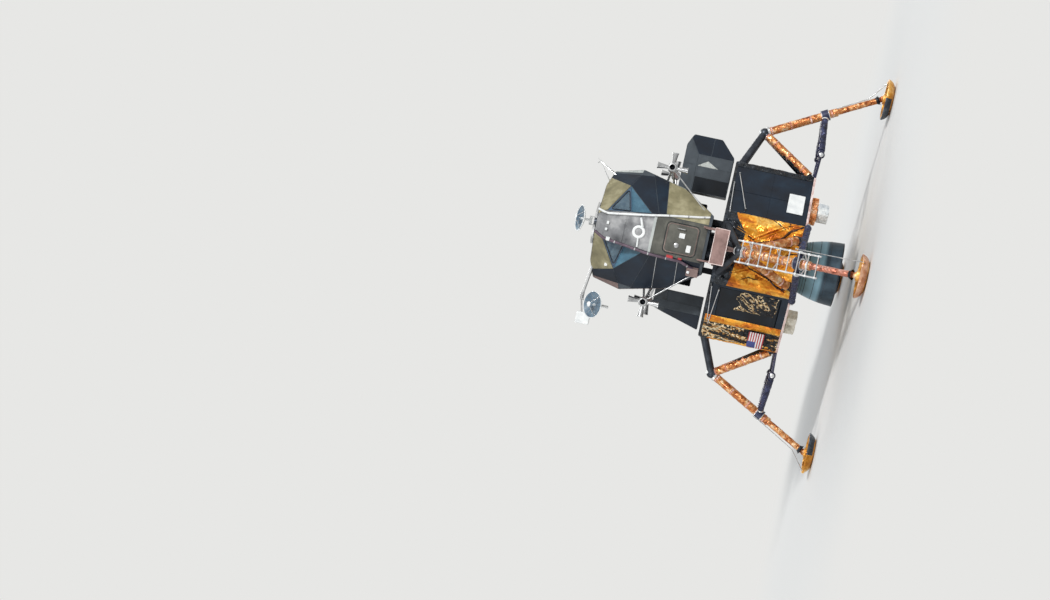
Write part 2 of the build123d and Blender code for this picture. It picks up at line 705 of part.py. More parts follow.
# Ladder on the front leg: rails, rungs and standoffs that end on the strut
with BuildPart() as ladder:
    for side in (-1, 1):
        across = side * RAIL_ACROSS
        tube(on_strut(RAIL_START, across, RAIL_OFF), on_strut(RAIL_END, across, RAIL_OFF), RAIL_RADIUS)
        for down in STANDOFFS:
            tube(on_strut(down, across, RAIL_OFF), on_strut(down), RUNG_RADIUS)
    for rung in range(RUNGS):
        down = RUNG_FIRST + rung * RUNG_PITCH
        tube(on_strut(down, -RAIL_ACROSS, RAIL_OFF), on_strut(down, RAIL_ACROSS, RAIL_OFF), RUNG_RADIUS)
    with BuildSketch(Plane(on_strut(0), z_dir=(DOWN[0], 0, DOWN[1]))) as strut_body:
        Circle(STRUT_UPPER + SEAT)
    extrude(strut_body.sketch, amount=STRUT_UPPER_LENGTH + 40, mode=Mode.SUBTRACT)
finish(ladder.part, "ladder", -90)

# Porch: platform with a turned-down lip, low rails and two props to the knee
with BuildPart() as porch:
    low, high = PORCH_TOP - PORCH_THICK, PORCH_TOP
    rail_z = high + PORCH_RAIL
    half = PORCH_WIDTH / 2
    block((STAGE_REACH - PORCH_START, -half, low), (PORCH_REACH, half, high))
    block((PORCH_REACH - PORCH_LIP_THICK, -half, high - PORCH_LIP), (PORCH_REACH, half, high))
    fillet(porch.edges().filter_by(Axis.Y).sort_by(Axis.X)[-2:].sort_by(Axis.Z)[-1], PORCH_ROUND)
    for side in (-1, 1):
        rail_y = side * (half - PORCH_INSET)
        posts = (STAGE_REACH, PORCH_REACH - PORCH_RAIL_SHORT)
        for post_x in posts:
            tube((post_x, rail_y, low), (post_x, rail_y, rail_z), PORCH_TUBE)
            ball((post_x, rail_y, rail_z), PORCH_TUBE)
        tube((posts[0], rail_y, rail_z), (posts[1], rail_y, rail_z), PORCH_TUBE)
        with Locations((STAGE_REACH - PORCH_START / 2, rail_y, (STAGE_TOP + low) / 2)):
            Box(2 * PORCH_FOOT, 2 * PORCH_FOOT, low - STAGE_TOP)
        tube((KNEE[0] - PROP_BACK, side * PROP_ACROSS, low), KNEE, PROP_RADIUS)
    ball(KNEE, KNEE_BALL + SEAT, mode=Mode.SUBTRACT)
finish(porch.part, "porch", -90)

# Cabin shell, split where its panels meet
CABIN_LOW = (-CABIN_HALF, CABIN_FRONT, CABIN_BOTTOM)
CABIN_HIGH = (CABIN_HALF, CABIN_BACK, CABIN_TOP)
CABIN_FACETS = mirrored(CABIN_SIDE)
cabin_hull = faceted(CABIN_LOW, CABIN_HIGH, CABIN_FACETS)
cabin_grown = faceted(
    [edge - SEAT for edge in CABIN_LOW], [edge + SEAT for edge in CABIN_HIGH], CABIN_FACETS, -SEAT
)
cabin_room = faceted(
    (-CABIN_HALF + WALL, CABIN_FRONT + WALL, CABIN_BOTTOM + FLOOR),
    (CABIN_HALF - WALL, CABIN_BACK - WALL, CABIN_TOP - WALL), CABIN_FACETS, WALL,
)


def plane_through(first, second, third):
    """The plane of three points, as a point and its unit normal."""
    return first, (second - first).cross(third - first).normalized()


def recess(grow):
    """Three-sided window recess, its inner faces moved into the cabin by grow."""
    facets = []
    for corners in (
        (RECESS_TOP, RECESS_OUTER, RECESS_DEEP),
        (RECESS_OUTER, RECESS_LOW, RECESS_DEEP),
        (RECESS_LOW, RECESS_TOP, RECESS_DEEP),
    ):
        point, normal = plane_through(*corners)
        facets.append((tuple(point + normal * grow), tuple(normal)))
    low = (0, CABIN_FRONT - RECESS_SPARE, RECESS_LOW.Z - 2 * RECESS_SPARE)
    high = (CABIN_HALF, FRONT_JOINT + WALL, CABIN_TOP)
    return faceted(low, high, facets)


def facet_plane():
    """Plane on the glass facet of the +X recess, facing out."""
    point, normal = plane_through(RECESS_TOP, RECESS_DEEP, RECESS_OUTER)
    centre = (RECESS_TOP + RECESS_OUTER + RECESS_DEEP) * (1 / 3)
    return Plane(origin=centre, x_dir=RECESS_OUTER - RECESS_TOP, z_dir=normal)


def facet_triangle(scale, shrink=0.0):
    """The glass facet's triangle about its middle, scaled and then moved in."""
    plane = facet_plane()
    corners = [plane.to_local_coords(corner) * scale for corner in (RECESS_TOP, RECESS_OUTER, RECESS_DEEP)]
    with BuildSketch(plane) as sketch:
        with BuildLine():
            Polyline(*[(corner.X, corner.Y) for corner in corners], close=True)
        make_face()
        fillet(sketch.vertices(), PANE_ROUND)
        if shrink:
            offset(amount=-shrink)
    return sketch.sketch


def both_sides(part):
    """A piece and its mirror image on the other side of the craft."""
    return part + part.mirror(Plane.YZ)


def roof_window(inset, low, high, mode=Mode.ADD):
    """A block on the docking window's outline, moved in by inset, between two heights."""
    low_x, low_y, high_x, high_y = ROOF_WINDOW
    block((low_x + inset, low_y + inset, low), (high_x - inset, high_y - inset, high), mode=mode)


recess_room = both_sides(recess(0))
recess_wall = both_sides(recess(WALL))
with BuildPart() as pane_seat:
    extrude(facet_triangle(PANE_SCALE), amount=-PANE_THICK)
    extrude(facet_triangle(PANE_SCALE), amount=WALL)
    extrude(facet_triangle(LIGHT_SCALE), amount=-4 * WALL)
pane_cut = both_sides(pane_seat.part)

# Hinge line of the forward hatch, and the heights of its two hinges
HATCH_AXIS = (-HATCH_WIDTH / 2 - HINGE_OUT, CABIN_FRONT + WALL + HINGE_IN)
HATCH_ENDS = (HATCH_BOTTOM + HINGE_FROM_END, HATCH_BOTTOM + HATCH_HEIGHT - HINGE_FROM_END)
with BuildPart() as cabin:
    add(cabin_hull)
    add(cabin_room, mode=Mode.SUBTRACT)
    with BuildPart(mode=Mode.PRIVATE) as linings:
        add(recess_wall)
        add(cabin_hull, mode=Mode.INTERSECT)
    add(linings.part)
    add(recess_room, mode=Mode.SUBTRACT)
    add(pane_cut, mode=Mode.SUBTRACT)
    with BuildSketch(Plane.XZ.offset(WALL - CABIN_FRONT)):
        with Locations((0, HATCH_BOTTOM + HATCH_HEIGHT / 2)):
            RectangleRounded(HATCH_WIDTH + 2 * SWING, HATCH_HEIGHT + 2 * SWING, HATCH_CORNER + SWING)
    extrude(amount=-3 * WALL, mode=Mode.SUBTRACT)
    block((-PASSAGE_HALF, CABIN_BACK - 2 * WALL, CABIN_BOTTOM + FLOOR),
          (PASSAGE_HALF, CABIN_BACK + WALL, PASSAGE_TOP), mode=Mode.SUBTRACT)
    roof_window(ROOF_RIM, CABIN_TOP - 2 * WALL, CABIN_TOP + WALL, mode=Mode.SUBTRACT)
    roof_window(0, CABIN_TOP - PANE_THICK - PANE_SUNK, CABIN_TOP + WALL, mode=Mode.SUBTRACT)

with BuildPart() as cabin_floor:
    add(cabin.part)
    split(bisect_by=Plane.XY.offset(CABIN_BOTTOM + FLOOR), keep=Keep.BOTTOM)
finish(cabin_floor.part, "cabin_floor")

with BuildPart() as cabin_front:
    add(cabin.part)
    split(bisect_by=Plane.XY.offset(CABIN_BOTTOM + FLOOR), keep=Keep.TOP)
    split(bisect_by=Plane.XZ.offset(-FRONT_JOINT), keep=Keep.TOP)
    for end in HATCH_ENDS:
        block((HATCH_AXIS[0] - HINGE_LUG - SWING, CABIN_FRONT + WALL, end - HINGE_HALF),
              (HATCH_AXIS[0] + HINGE_LUG, HATCH_AXIS[1] + HINGE_LUG + 6, end + HINGE_HALF))
        tube((*HATCH_AXIS, end - 2 * HINGE_HALF), (*HATCH_AXIS, end + 2 * HINGE_HALF), HINGE_PIN)
finish(cabin_front.part, "cabin_front")

with BuildPart() as cabin_shell:
    add(cabin.part)
    split(bisect_by=Plane.XY.offset(CABIN_BOTTOM + FLOOR), keep=Keep.TOP)
    split(bisect_by=Plane.XZ.offset(-FRONT_JOINT), keep=Keep.BOTTOM)
finish(cabin_shell.part, "cabin_shell")

# Window panes, and the docking window in the roof
with BuildPart() as pane:
    extrude(facet_triangle(PANE_SCALE, SEAT), amount=-PANE_THICK)
with BuildPart() as window_panes:
    add(both_sides(pane.part))
    roof_window(SEAT, CABIN_TOP - PANE_THICK - PANE_SUNK, CABIN_TOP - PANE_SUNK)
finish(window_panes.part, "window_panes")

# Instrument console under the windows
with BuildPart() as console:
    with BuildSketch(Plane.YZ.offset(-CONSOLE_HALF)):
        with BuildLine():
            Polyline(
                (CONSOLE_FRONT, CONSOLE_BOTTOM), (CONSOLE_BACK, CONSOLE_BOTTOM),
                (CONSOLE_BACK, CONSOLE_BOTTOM + CONSOLE_EDGE), (CONSOLE_FRONT + CONSOLE_SHELF, CONSOLE_TOP),
                (CONSOLE_FRONT, CONSOLE_TOP), close=True,
            )
        make_face()
    extrude(amount=2 * CONSOLE_HALF)
    for side in (-1, 1):
        near, far = sorted((side * CONSOLE_HALF, side * (CONSOLE_HALF - CONSOLE_LEG)))
        block((near, CONSOLE_BACK - CONSOLE_LEG, CABIN_BOTTOM + FLOOR), (far, CONSOLE_BACK, CONSOLE_BOTTOM))
finish(console.part, "console")

# Midsection behind the cabin
LID_AXIS = (TUNNEL_BORE + LID_HINGE_OUT, MID_TOP - WALL - HINGE_IN)
with BuildPart() as midsection:
    add(faceted((-MID_HALF, CABIN_BACK, CABIN_BOTTOM), (MID_HALF, MID_BACK, MID_TOP), mirrored(MID_SIDE)))
    room_low = (-MID_HALF + WALL, CABIN_BACK - WALL, CABIN_BOTTOM + FLOOR)
    room_high = (MID_HALF - WALL, MID_BACK - WALL, MID_TOP - WALL)
    add(faceted(room_low, room_high, mirrored(MID_SIDE), WALL), mode=Mode.SUBTRACT)
    with BuildSketch(Plane.XY.offset(CABIN_BOTTOM)):
        Circle(APS_RADIUS + SEAT)
    extrude(amount=FLOOR, mode=Mode.SUBTRACT)
    with BuildSketch(Plane.XY.offset(MID_TOP - WALL)):
        Circle(TUNNEL_BORE)
    extrude(amount=WALL, mode=Mode.SUBTRACT)
    for side in (-1, 1):
        lug_x = side * LID_LUG
        block((lug_x - KNUCKLE - 4, LID_AXIS[0] - KNUCKLE, LID_AXIS[1] - KNUCKLE),
              (lug_x + KNUCKLE + 4, LID_AXIS[0] + KNUCKLE, MID_TOP - WALL))
    tube((-LID_LUG - 2 * KNUCKLE, *LID_AXIS), (LID_LUG + 2 * KNUCKLE, *LID_AXIS), HINGE_PIN)
finish(midsection.part, "midsection")

with BuildPart() as ascent_engine:
    with BuildSketch(Plane.XY.offset(APS_BOTTOM)):
        Circle(APS_RADIUS)
    extrude(amount=APS_TOP - APS_BOTTOM)
finish(ascent_engine.part, "ascent_engine")

finish(faceted((-AFT_HALF, MID_BACK, AFT_BOTTOM), (AFT_HALF, AFT_BACK, AFT_TOP), mirrored(AFT_SIDE)),
       "aft_bay")
finish(faceted((MID_HALF, BULGE_FRONT, BULGE_BOTTOM), (BULGE_RIGHT, BULGE_BACK, BULGE_TOP), RIGHT_BULGE),
       "tank_bulge_right")
finish(faceted((-BULGE_LEFT, BULGE_FRONT, BULGE_BOTTOM), (-MID_HALF, BULGE_BACK, BULGE_TOP), LEFT_BULGE),
       "tank_bulge_left")

# Posts between the stages
with BuildPart() as stage_posts:
    for post_x, post_y in POST_PLACES:
        with Locations((post_x, post_y, (STAGE_TOP + CABIN_BOTTOM) / 2)):
            Box(POST_SQUARE, POST_SQUARE, CABIN_BOTTOM - STAGE_TOP)
finish(stage_posts.part, "stage_posts")

# Docking tunnel with the drogue's funnel
with BuildPart() as docking_tunnel:
    with BuildSketch(Plane.XZ):
        with BuildLine():
            Polyline((TUNNEL_BORE, MID_TOP), (TUNNEL_FOOT, MID_TOP), (TUNNEL_FOOT, MID_TOP + 40),
                     (TUNNEL_OUTER, MID_TOP + 110), (TUNNEL_OUTER, TUNNEL_TOP - 70),
                     (TUNNEL_FLANGE, TUNNEL_TOP - 50), (TUNNEL_FLANGE, TUNNEL_TOP),
                     (TUNNEL_BORE, TUNNEL_TOP), close=True)
        make_face()
    revolve(axis=Axis.Z)
finish(docking_tunnel.part, "docking_tunnel")

rim = TUNNEL_BORE - SEAT
rim_top = TUNNEL_TOP - DROGUE_SUNK
rim_low = rim_top - DROGUE_RIM
with BuildPart() as drogue:
    with BuildSketch(Plane.XZ):
        with BuildLine():
            Polyline((rim, rim_low), (rim, rim_top), (rim - 30, rim_top),
                     (DROGUE_SMALL, rim_top - DROGUE_DROP), (DROGUE_SMALL, rim_low - DROGUE_DROP),
                     (DROGUE_SMALL + DROGUE_WALL, rim_low - DROGUE_DROP), close=True)
        make_face()
    revolve(axis=Axis.Z)
finish(drogue.part, "drogue")

# Overhead hatch, hinged at its aft edge under the roof
with BuildPart() as overhead_hatch:
    with BuildSketch(Plane.XY.offset(MID_TOP - WALL)):
        Circle(TUNNEL_BORE - SWING)
    extrude(amount=LID_THICK)
    with BuildSketch(Plane.XY.offset(MID_TOP - WALL - LID_STEP)):
        Circle(TUNNEL_BORE - WALL)
    extrude(amount=LID_STEP)
    for side in (-1, 1):
        arm_x = side * LID_KNUCKLE
        block((arm_x - 18, TUNNEL_BORE - 90, LID_AXIS[1] - 10), (arm_x + 18, LID_AXIS[0], LID_AXIS[1] + 10))
        with BuildSketch(Plane.YZ.offset(arm_x - 18)) as knuckle:
            with Locations(LID_AXIS):
                Circle(14)
        extrude(knuckle.sketch, amount=36)
    with BuildSketch(Plane.YZ) as lid_bore:
        with Locations(LID_AXIS):
            Circle(HINGE_PIN + RUNNING)
    extrude(lid_bore.sketch, amount=LID_LUG, both=True, mode=Mode.SUBTRACT)
finish(overhead_hatch.part, "overhead_hatch")

# Forward hatch, hinged inside at its -X edge
with BuildPart() as forward_hatch:
    with BuildSketch(Plane.XZ.offset(-CABIN_FRONT - HATCH_SUNK)):
        with Locations((0, HATCH_BOTTOM + HATCH_HEIGHT / 2)):
            RectangleRounded(HATCH_WIDTH, HATCH_HEIGHT, HATCH_CORNER)
    extrude(amount=-HATCH_THICK)
    inner_face = CABIN_FRONT + HATCH_SUNK + HATCH_THICK
    edge = -HATCH_WIDTH / 2
    for end in HATCH_ENDS:
        for side in (-1, 1):
            mid = end + side * KNUCKLE_FROM
            low, high = mid - HINGE_LUG, mid + HINGE_LUG
            strap_end = edge + HATCH_STRAP
            front, back = HATCH_AXIS[1] - HINGE_LUG, HATCH_AXIS[1] + HINGE_LUG
            block((HATCH_AXIS[0], front, low), (strap_end, back, high))
            block((edge + HINGE_LUG, inner_face - 2, low), (strap_end, HATCH_AXIS[1], high))
            tube((*HATCH_AXIS, low), (*HATCH_AXIS, high), KNUCKLE)
        with BuildSketch(Plane.XY.offset(end)):
            with Locations(HATCH_AXIS):
                Circle(HINGE_PIN + RUNNING)
        extrude(amount=KNUCKLE_FROM + 2 * HINGE_LUG, both=True, mode=Mode.SUBTRACT)
finish(forward_hatch.part, "forward_hatch")

# Thruster quads: a hub, four bells and two arms to the wall. Name, side, end, arm ends (x, y, z)
QUADS = (
    ("front_right", 1, -1, ((1100, -1120, 4700), (1050, -1150, 4450))),
    ("front_left", -1, -1, ((-1100, -1120, 4700), (-1050, -1150, 4450))),
    ("aft_right", 1, 1, ((860, 1330, 4700), (860, 1330, 4450))),
    ("aft_left", -1, 1, ((-860, 1330, 4700), (-860, 1330, 4450))),
)
aft_grown = faceted((-AFT_HALF - SEAT, MID_BACK, AFT_BOTTOM), (AFT_HALF + SEAT, AFT_BACK + SEAT, AFT_TOP),
                    mirrored(AFT_SIDE), -SEAT)


def nozzle(start, direction):
    """A flared thruster bell, open at its mouth."""
    with BuildPart() as bell:
        with BuildSketch(Plane.XZ):
            with BuildLine():
                Polyline((0, 0), (NOZZLE_THROAT + NOZZLE_WALL, 0))
                ThreePointArc((NOZZLE_THROAT + NOZZLE_WALL, 0), (NOZZLE_EXIT - 20, NOZZLE_LENGTH * 0.45),
                              (NOZZLE_EXIT, NOZZLE_LENGTH))
                Line((NOZZLE_EXIT, NOZZLE_LENGTH), (NOZZLE_EXIT - NOZZLE_WALL, NOZZLE_LENGTH))
                ThreePointArc((NOZZLE_EXIT - NOZZLE_WALL, NOZZLE_LENGTH),
                              (NOZZLE_EXIT - 20 - NOZZLE_WALL, NOZZLE_LENGTH * 0.45),
                              (NOZZLE_THROAT, NOZZLE_BACK))
                Polyline((NOZZLE_THROAT, NOZZLE_BACK), (0, NOZZLE_BACK), (0, 0))
            make_face()
        revolve(axis=Axis.Z)
    return Plane(origin=start, z_dir=direction) * bell.part


for quad_name, quad_side, quad_end, arm_ends in QUADS:
    hub = Vector(quad_side * QUAD, quad_end * QUAD, QUAD_Z)
    with BuildPart() as quad:
        with Locations(hub):
            Box(2 * QUAD_HALF, 2 * QUAD_HALF, 2 * QUAD_HALF)
        chamfer(quad.edges(), QUAD_CHAMFER)
        for way in ((0, 0, 1), (0, 0, -1), (quad_side, 0, 0), (0, quad_end, 0)):
            add(nozzle(hub + Vector(*way) * (QUAD_HALF - NOZZLE_SUNK), way))
        for arm_end in arm_ends:
            tube(tuple(hub), arm_end, ARM)
        if quad_end < 0:
            end_x, end_y, end_z = BRACE_END
            start = hub + Vector(-quad_side, 0, -1) * BRACE_OFF
            tube(tuple(start), (quad_side * end_x, end_y, end_z), BRACE)
        add(cabin_grown if quad_end < 0 else aft_grown, mode=Mode.SUBTRACT)
    finish(quad.part, f"quad_{quad_name}")

# Rendezvous radar: fixed pedestal, yoke on a vertical shaft, dish on the trunnion
PLATE_Z = RADAR_PIVOT - RADAR_DROP
with BuildPart() as radar_mount:
    with BuildSketch(Plane.XY.offset(CABIN_TOP)):
        with Locations((0, RADAR_Y)):
            Circle(RADAR_BASE)
    extrude(amount=PLATE_Z - 1 - CABIN_TOP, taper=12)
    tube((0, RADAR_Y, CABIN_TOP + RADAR_SHAFT), (0, RADAR_Y, PLATE_Z + RADAR_PLATE - 2), RADAR_SHAFT)
finish(radar_mount.part, "radar_mount")

with BuildPart() as radar_yoke:
    with BuildSketch(Plane.XY.offset(PLATE_Z)):
        with Locations((0, RADAR_Y)):
            Circle(RADAR_DISC)
    extrude(amount=RADAR_PLATE)
    low_y, high_y = RADAR_Y - YOKE_HALF, RADAR_Y + YOKE_HALF
    block((-YOKE_REACH, low_y, PLATE_Z), (YOKE_REACH, high_y, PLATE_Z + RADAR_PLATE))
    for side in (-1, 1):
        near, far = sorted((side * (YOKE_REACH - YOKE_ARM), side * YOKE_REACH))
        block((near, low_y, PLATE_Z), (far, high_y, RADAR_PIVOT + YOKE_HALF))
    with BuildSketch(Plane.YZ):
        with Locations((RADAR_Y, RADAR_PIVOT)):
            Circle(RADAR_PIN + RUNNING)
    extrude(amount=YOKE_REACH, both=True, mode=Mode.SUBTRACT)
    with BuildSketch(Plane.XY.offset(PLATE_Z)):
        with Locations((0, RADAR_Y)):
            Circle(RADAR_SHAFT + RUNNING)
    extrude(amount=RADAR_PLATE, mode=Mode.SUBTRACT)
finish(radar_yoke.part, "radar_yoke")


def dish(radius, depth):
    """A shallow bowl opening along +Z from its vertex at the origin."""
    with BuildPart() as bowl:
        with BuildSketch(Plane.XZ):
            with BuildLine():
                ThreePointArc((0, 0), (radius * 0.55, depth * 0.28), (radius, depth))
                Line((radius, depth), (radius - 3, depth + DISH_WALL))
                ThreePointArc((radius - 3, depth + DISH_WALL), (radius * 0.54, depth * 0.28 + DISH_WALL),
                              (0, DISH_WALL))
                Line((0, DISH_WALL), (0, 0))
            make_face()
        revolve(axis=Axis.Z)
        with BuildSketch(Plane.XY.offset(DISH_WALL - 2)):
            Circle(20)
        extrude(amount=depth + 60, taper=8)
    return bowl.part


radar_way = Vector(0, -cos(radians(RADAR_LIFT)), sin(radians(RADAR_LIFT)))
radar_pivot = Vector(0, RADAR_Y, RADAR_PIVOT)
with BuildPart() as radar_dish:
    for half, radius in ((YOKE_REACH - YOKE_ARM - YOKE_GAP, RADAR_HUB), (YOKE_REACH - 4, RADAR_PIN)):
        tube((-half, RADAR_Y, RADAR_PIVOT), (half, RADAR_Y, RADAR_PIVOT), radius)
    tube(tuple(radar_pivot), tuple(radar_pivot + radar_way * (RADAR_OFFSET + 4)), RADAR_STEM)
    add(Plane(origin=radar_pivot + radar_way * RADAR_OFFSET, x_dir=(1, 0, 0), z_dir=radar_way)
        * dish(RADAR_DISH, RADAR_DEPTH))
finish(radar_dish.part, "radar_dish")

# Steerable antenna: boom, head that turns about the boom's end, dish that turns on the head
boom_end = Vector(*BOOM_END)
out_along = Vector(-1, 0, 0)
pin_start = boom_end + out_along * (BOOM_HUB_HALF + 5)
pin_end = pin_start + out_along * HEAD_PIN_LENGTH
with BuildPart() as steer_boom:
    tube(BOOM_ROOT, BOOM_END, BOOM_RADIUS)
    tube(*BOOM_BRACE)
    add(cabin_grown, mode=Mode.SUBTRACT)
    tube(tuple(boom_end - out_along * BOOM_HUB_HALF), tuple(pin_start), BOOM_HUB)
    tube(tuple(pin_start), tuple(pin_end), HEAD_PIN)
finish(steer_boom.part, "antenna_boom")

head = Vector(*HEAD)
up = Vector(0, 0, 1)
with BuildPart() as steer_head:
    tube(tuple(pin_start + out_along), tuple(pin_start + out_along * (1 + HEAD_HUB_LENGTH)), HEAD_HUB)
    tube(tuple(pin_end - out_along * HEAD_PIN), tuple(head + up * (2 * YAW_HALF)), HEAD_ARM)
    tube(tuple(head + up * (2 * YAW_HALF + HEAD_ARM)), tuple(head + up * (YAW_HALF + 2)), YAW_HUB - 2)
    tube(tuple(head + up * (YAW_HALF + 10)), tuple(head - up * (YAW_HALF + 4)), YAW_PIN)
    case_low, case_high = HEAD_CASE
    tube(tuple(pin_end), (case_high[0] - SWING, BOOM_END[1], (case_low[2] + 2 * case_high[2]) / 3), HEAD_PIN)
    block(case_low, case_high)
    with BuildSketch(Plane.YZ.offset(pin_end.X - 1)) as head_bore:
        with Locations((BOOM_END[1], BOOM_END[2])):
            Circle(HEAD_PIN + RUNNING)
    extrude(head_bore.sketch, amount=HEAD_PIN_LENGTH + BOOM_HUB, mode=Mode.SUBTRACT)
finish(steer_head.part, "antenna_head")

steer_way = Vector(*STEER_WAY).normalized()
with BuildPart() as steer_dish:
    tube(tuple(head - up * YAW_HALF), tuple(head + up * YAW_HALF), YAW_HUB)
    tube(HEAD, tuple(head + steer_way * (STEER_OFFSET + 4)), STEER_STEM)
    add(Plane(origin=head + steer_way * STEER_OFFSET, x_dir=(1, 0, 0), z_dir=steer_way)
        * dish(STEER_DISH, STEER_DEPTH))
    with BuildSketch(Plane.XY.offset(HEAD[2])) as dish_bore:
        with Locations((HEAD[0], HEAD[1])):
            Circle(YAW_PIN + RUNNING)
    extrude(dish_bore.sketch, amount=YAW_HALF + SWING, both=True, mode=Mode.SUBTRACT)
finish(steer_dish.part, "antenna_dish")

# Whip antenna on three legs at the right roof edge
whip_top = Vector(*WHIP_TOP)
with BuildPart() as whip_antenna:
    for foot in WHIP_FEET:
        tube(foot, WHIP_TOP, WHIP_LEG)
    add(cabin_grown, mode=Mode.SUBTRACT)
    tube(tuple(whip_top - up * WHIP_CAP_HALF), tuple(whip_top + up * WHIP_CAP_HALF), WHIP_CAP)
    for way in WHIP_RODS:
        tube(WHIP_TOP, tuple(whip_top + Vector(*way)), WHIP_ROD)
finish(whip_antenna.part, "whip_antenna")
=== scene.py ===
"""Foil, skins, struts and fittings of a two-stage lunar lander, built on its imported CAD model."""

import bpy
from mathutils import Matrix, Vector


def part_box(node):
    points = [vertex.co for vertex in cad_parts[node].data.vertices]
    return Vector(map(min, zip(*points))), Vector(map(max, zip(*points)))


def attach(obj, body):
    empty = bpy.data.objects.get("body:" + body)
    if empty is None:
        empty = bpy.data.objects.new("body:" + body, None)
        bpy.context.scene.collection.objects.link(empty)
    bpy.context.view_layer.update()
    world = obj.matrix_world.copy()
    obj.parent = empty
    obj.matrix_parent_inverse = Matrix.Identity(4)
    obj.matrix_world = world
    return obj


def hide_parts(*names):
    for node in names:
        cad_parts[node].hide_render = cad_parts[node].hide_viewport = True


bl_info = {
    "name": "Lunar Lander",
    "version": (1, 0, 0),
    "blender": (4, 5, 0),
    "location": "View3D > Sidebar > Lander",
    "description": "Foil, skins and fittings of a lunar lander, in metres on its CAD model",
    "category": "Object",
}

from math import cos, exp, pi, radians, sin, sqrt

import bmesh
import bpy
from bpy.props import FloatProperty, FloatVectorProperty, PointerProperty
from mathutils import Matrix, Vector, noise

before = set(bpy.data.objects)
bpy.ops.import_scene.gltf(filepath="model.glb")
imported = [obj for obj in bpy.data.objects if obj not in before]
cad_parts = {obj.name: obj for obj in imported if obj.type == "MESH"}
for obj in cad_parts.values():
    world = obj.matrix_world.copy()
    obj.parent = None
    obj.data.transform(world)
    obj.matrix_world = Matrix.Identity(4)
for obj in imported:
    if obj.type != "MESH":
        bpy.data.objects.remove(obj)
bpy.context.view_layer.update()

# Without a seed, the offsets behind Blender's noise vectors differ from one run to the next
FILM_SEED = 7
noise.seed_set(FILM_SEED)

# Places that the CAD source sets, in metres. +Z is up, the ladder faces -Y.
STAGE_REACH = 2.060
STAGE_HALF = 0.686
STAGE_BOTTOM = 1.400
BLANKET_TOP = 3.196
DIAGONAL = (STAGE_REACH + STAGE_HALF) / sqrt(2)
DOOR_LINE = 1.600
QUAD = 1.560
QUAD_Z = 4.610
RADAR = Vector((0, -1.690, 6.175))
HEAD = Vector((-1.870, -1.140, 5.460))
# Places and tube radii of one leg, drawn along +X. LEGS gives the turn to each leg's own side.
KNEE = Vector((2.890, 0, 2.735))
BALL = Vector((4.230, 0, 0.235))
DOWN = (BALL - KNEE).normalized()
OUT = Vector((-DOWN.z, 0, DOWN.x))
STRUT = (BALL - KNEE).length
COLLAR = KNEE + DOWN * 1.463
UPPER_TUBE = 0.092
LOWER_TUBE = 0.066
BRACE_FOOT = Vector((STAGE_REACH + 0.03, 0.520, 1.530))
TRUSS_JOINT = Vector((2.600, 0.820, 1.370))
PAD_REACH = 4.230
LEGS = {"front": -90, "right": 0, "aft": 90, "left": 180}
SIDES = (-1, 1)
ALONG_Y = Vector((0, 1, 0))


# Colour and nodes


def linear(code):
    """A hex colour as linear RGBA."""
    channels = [int(code[i:i + 2], 16) / 255 for i in (1, 3, 5)]
    return [c / 12.92 if c <= 0.04045 else ((c + 0.055) / 1.055) ** 2.4 for c in channels] + [1.0]


def join(tree, source, socket):
    """Links a socket, or the first output of a node, to a socket."""
    tree.links.new(getattr(source, "outputs", (source,))[0], socket)


def add(tree, kind, values=None, links=None, stops=(), **settings):
    """Adds a node with its settings, the values of its sockets, the links into it and its colour stops."""
    made = tree.nodes.new(kind)
    for name, value in settings.items():
        setattr(made, name, value)
    for socket, value in (values or {}).items():
        made.inputs[socket].default_value = value
    for socket, source in (links or {}).items():
        join(tree, source, made.inputs[socket])
    points = made.color_ramp.elements if stops else ()
    while len(points) < len(stops):
        points.new(0.5)
    for point, (position, code) in zip(points, stops):
        point.position = position
        point.color = linear(code)
    return made


def blank(name):
    """A new material's tree, its shader and its object coordinates."""
    material = bpy.data.materials.new(name)
    material.use_nodes = True
    tree = material.node_tree
    shader = tree.nodes["Principled BSDF"]
    place = add(tree, "ShaderNodeTexCoord").outputs["Object"]
    return material, tree, shader, place


def sized(size_mm, detail):
    """Socket values of a noise whose features are about size_mm across."""
    return {"Scale": 1000 / size_mm, "Detail": detail, "Roughness": 0.55}


def coloured(tree, shader, factor, colours, stops):
    """Colours the shader by a 0 to 1 value, from hex colours in one string and the place of each."""
    tint = add(tree, "ShaderNodeValToRGB", links={"Fac": factor}, stops=list(zip(stops, colours.split())))
    join(tree, tint, shader.inputs["Base Color"])


def mottled(tree, shader, place, size_mm, detail, colours, stops):
    """Colours the shader in patches about size_mm across, and gives the patches back."""
    patches = add(tree, "ShaderNodeTexNoise", sized(size_mm, detail), {"Vector": place}, noise_type="FBM")
    coloured(tree, shader, patches, colours, stops)
    return patches


def roughened(tree, shader, factor, low, high):
    """Spreads the shader's roughness from low to high by a 0 to 1 value."""
    rough = add(tree, "ShaderNodeMapRange", {"To Min": low, "To Max": high}, {"Value": factor})
    join(tree, rough, shader.inputs["Roughness"])


def embossed(tree, shader, place, size_mm, detail, depth_mm, strength, under=None):
    """Relief on the shader, with features about size_mm across, over a coarser relief if there is one."""
    height = add(tree, "ShaderNodeTexNoise", sized(size_mm, detail), {"Vector": place}, noise_type="FBM")
    links = {"Height": height, "Normal": under} if under else {"Height": height}
    relief = add(tree, "ShaderNodeBump", {"Strength": strength, "Distance": depth_mm / 1000}, links)
    join(tree, relief, shader.inputs["Normal"])


# Materials

THREE = (0.25, 0.50, 0.78)
PAINT = (0.30, 0.55, 0.78)


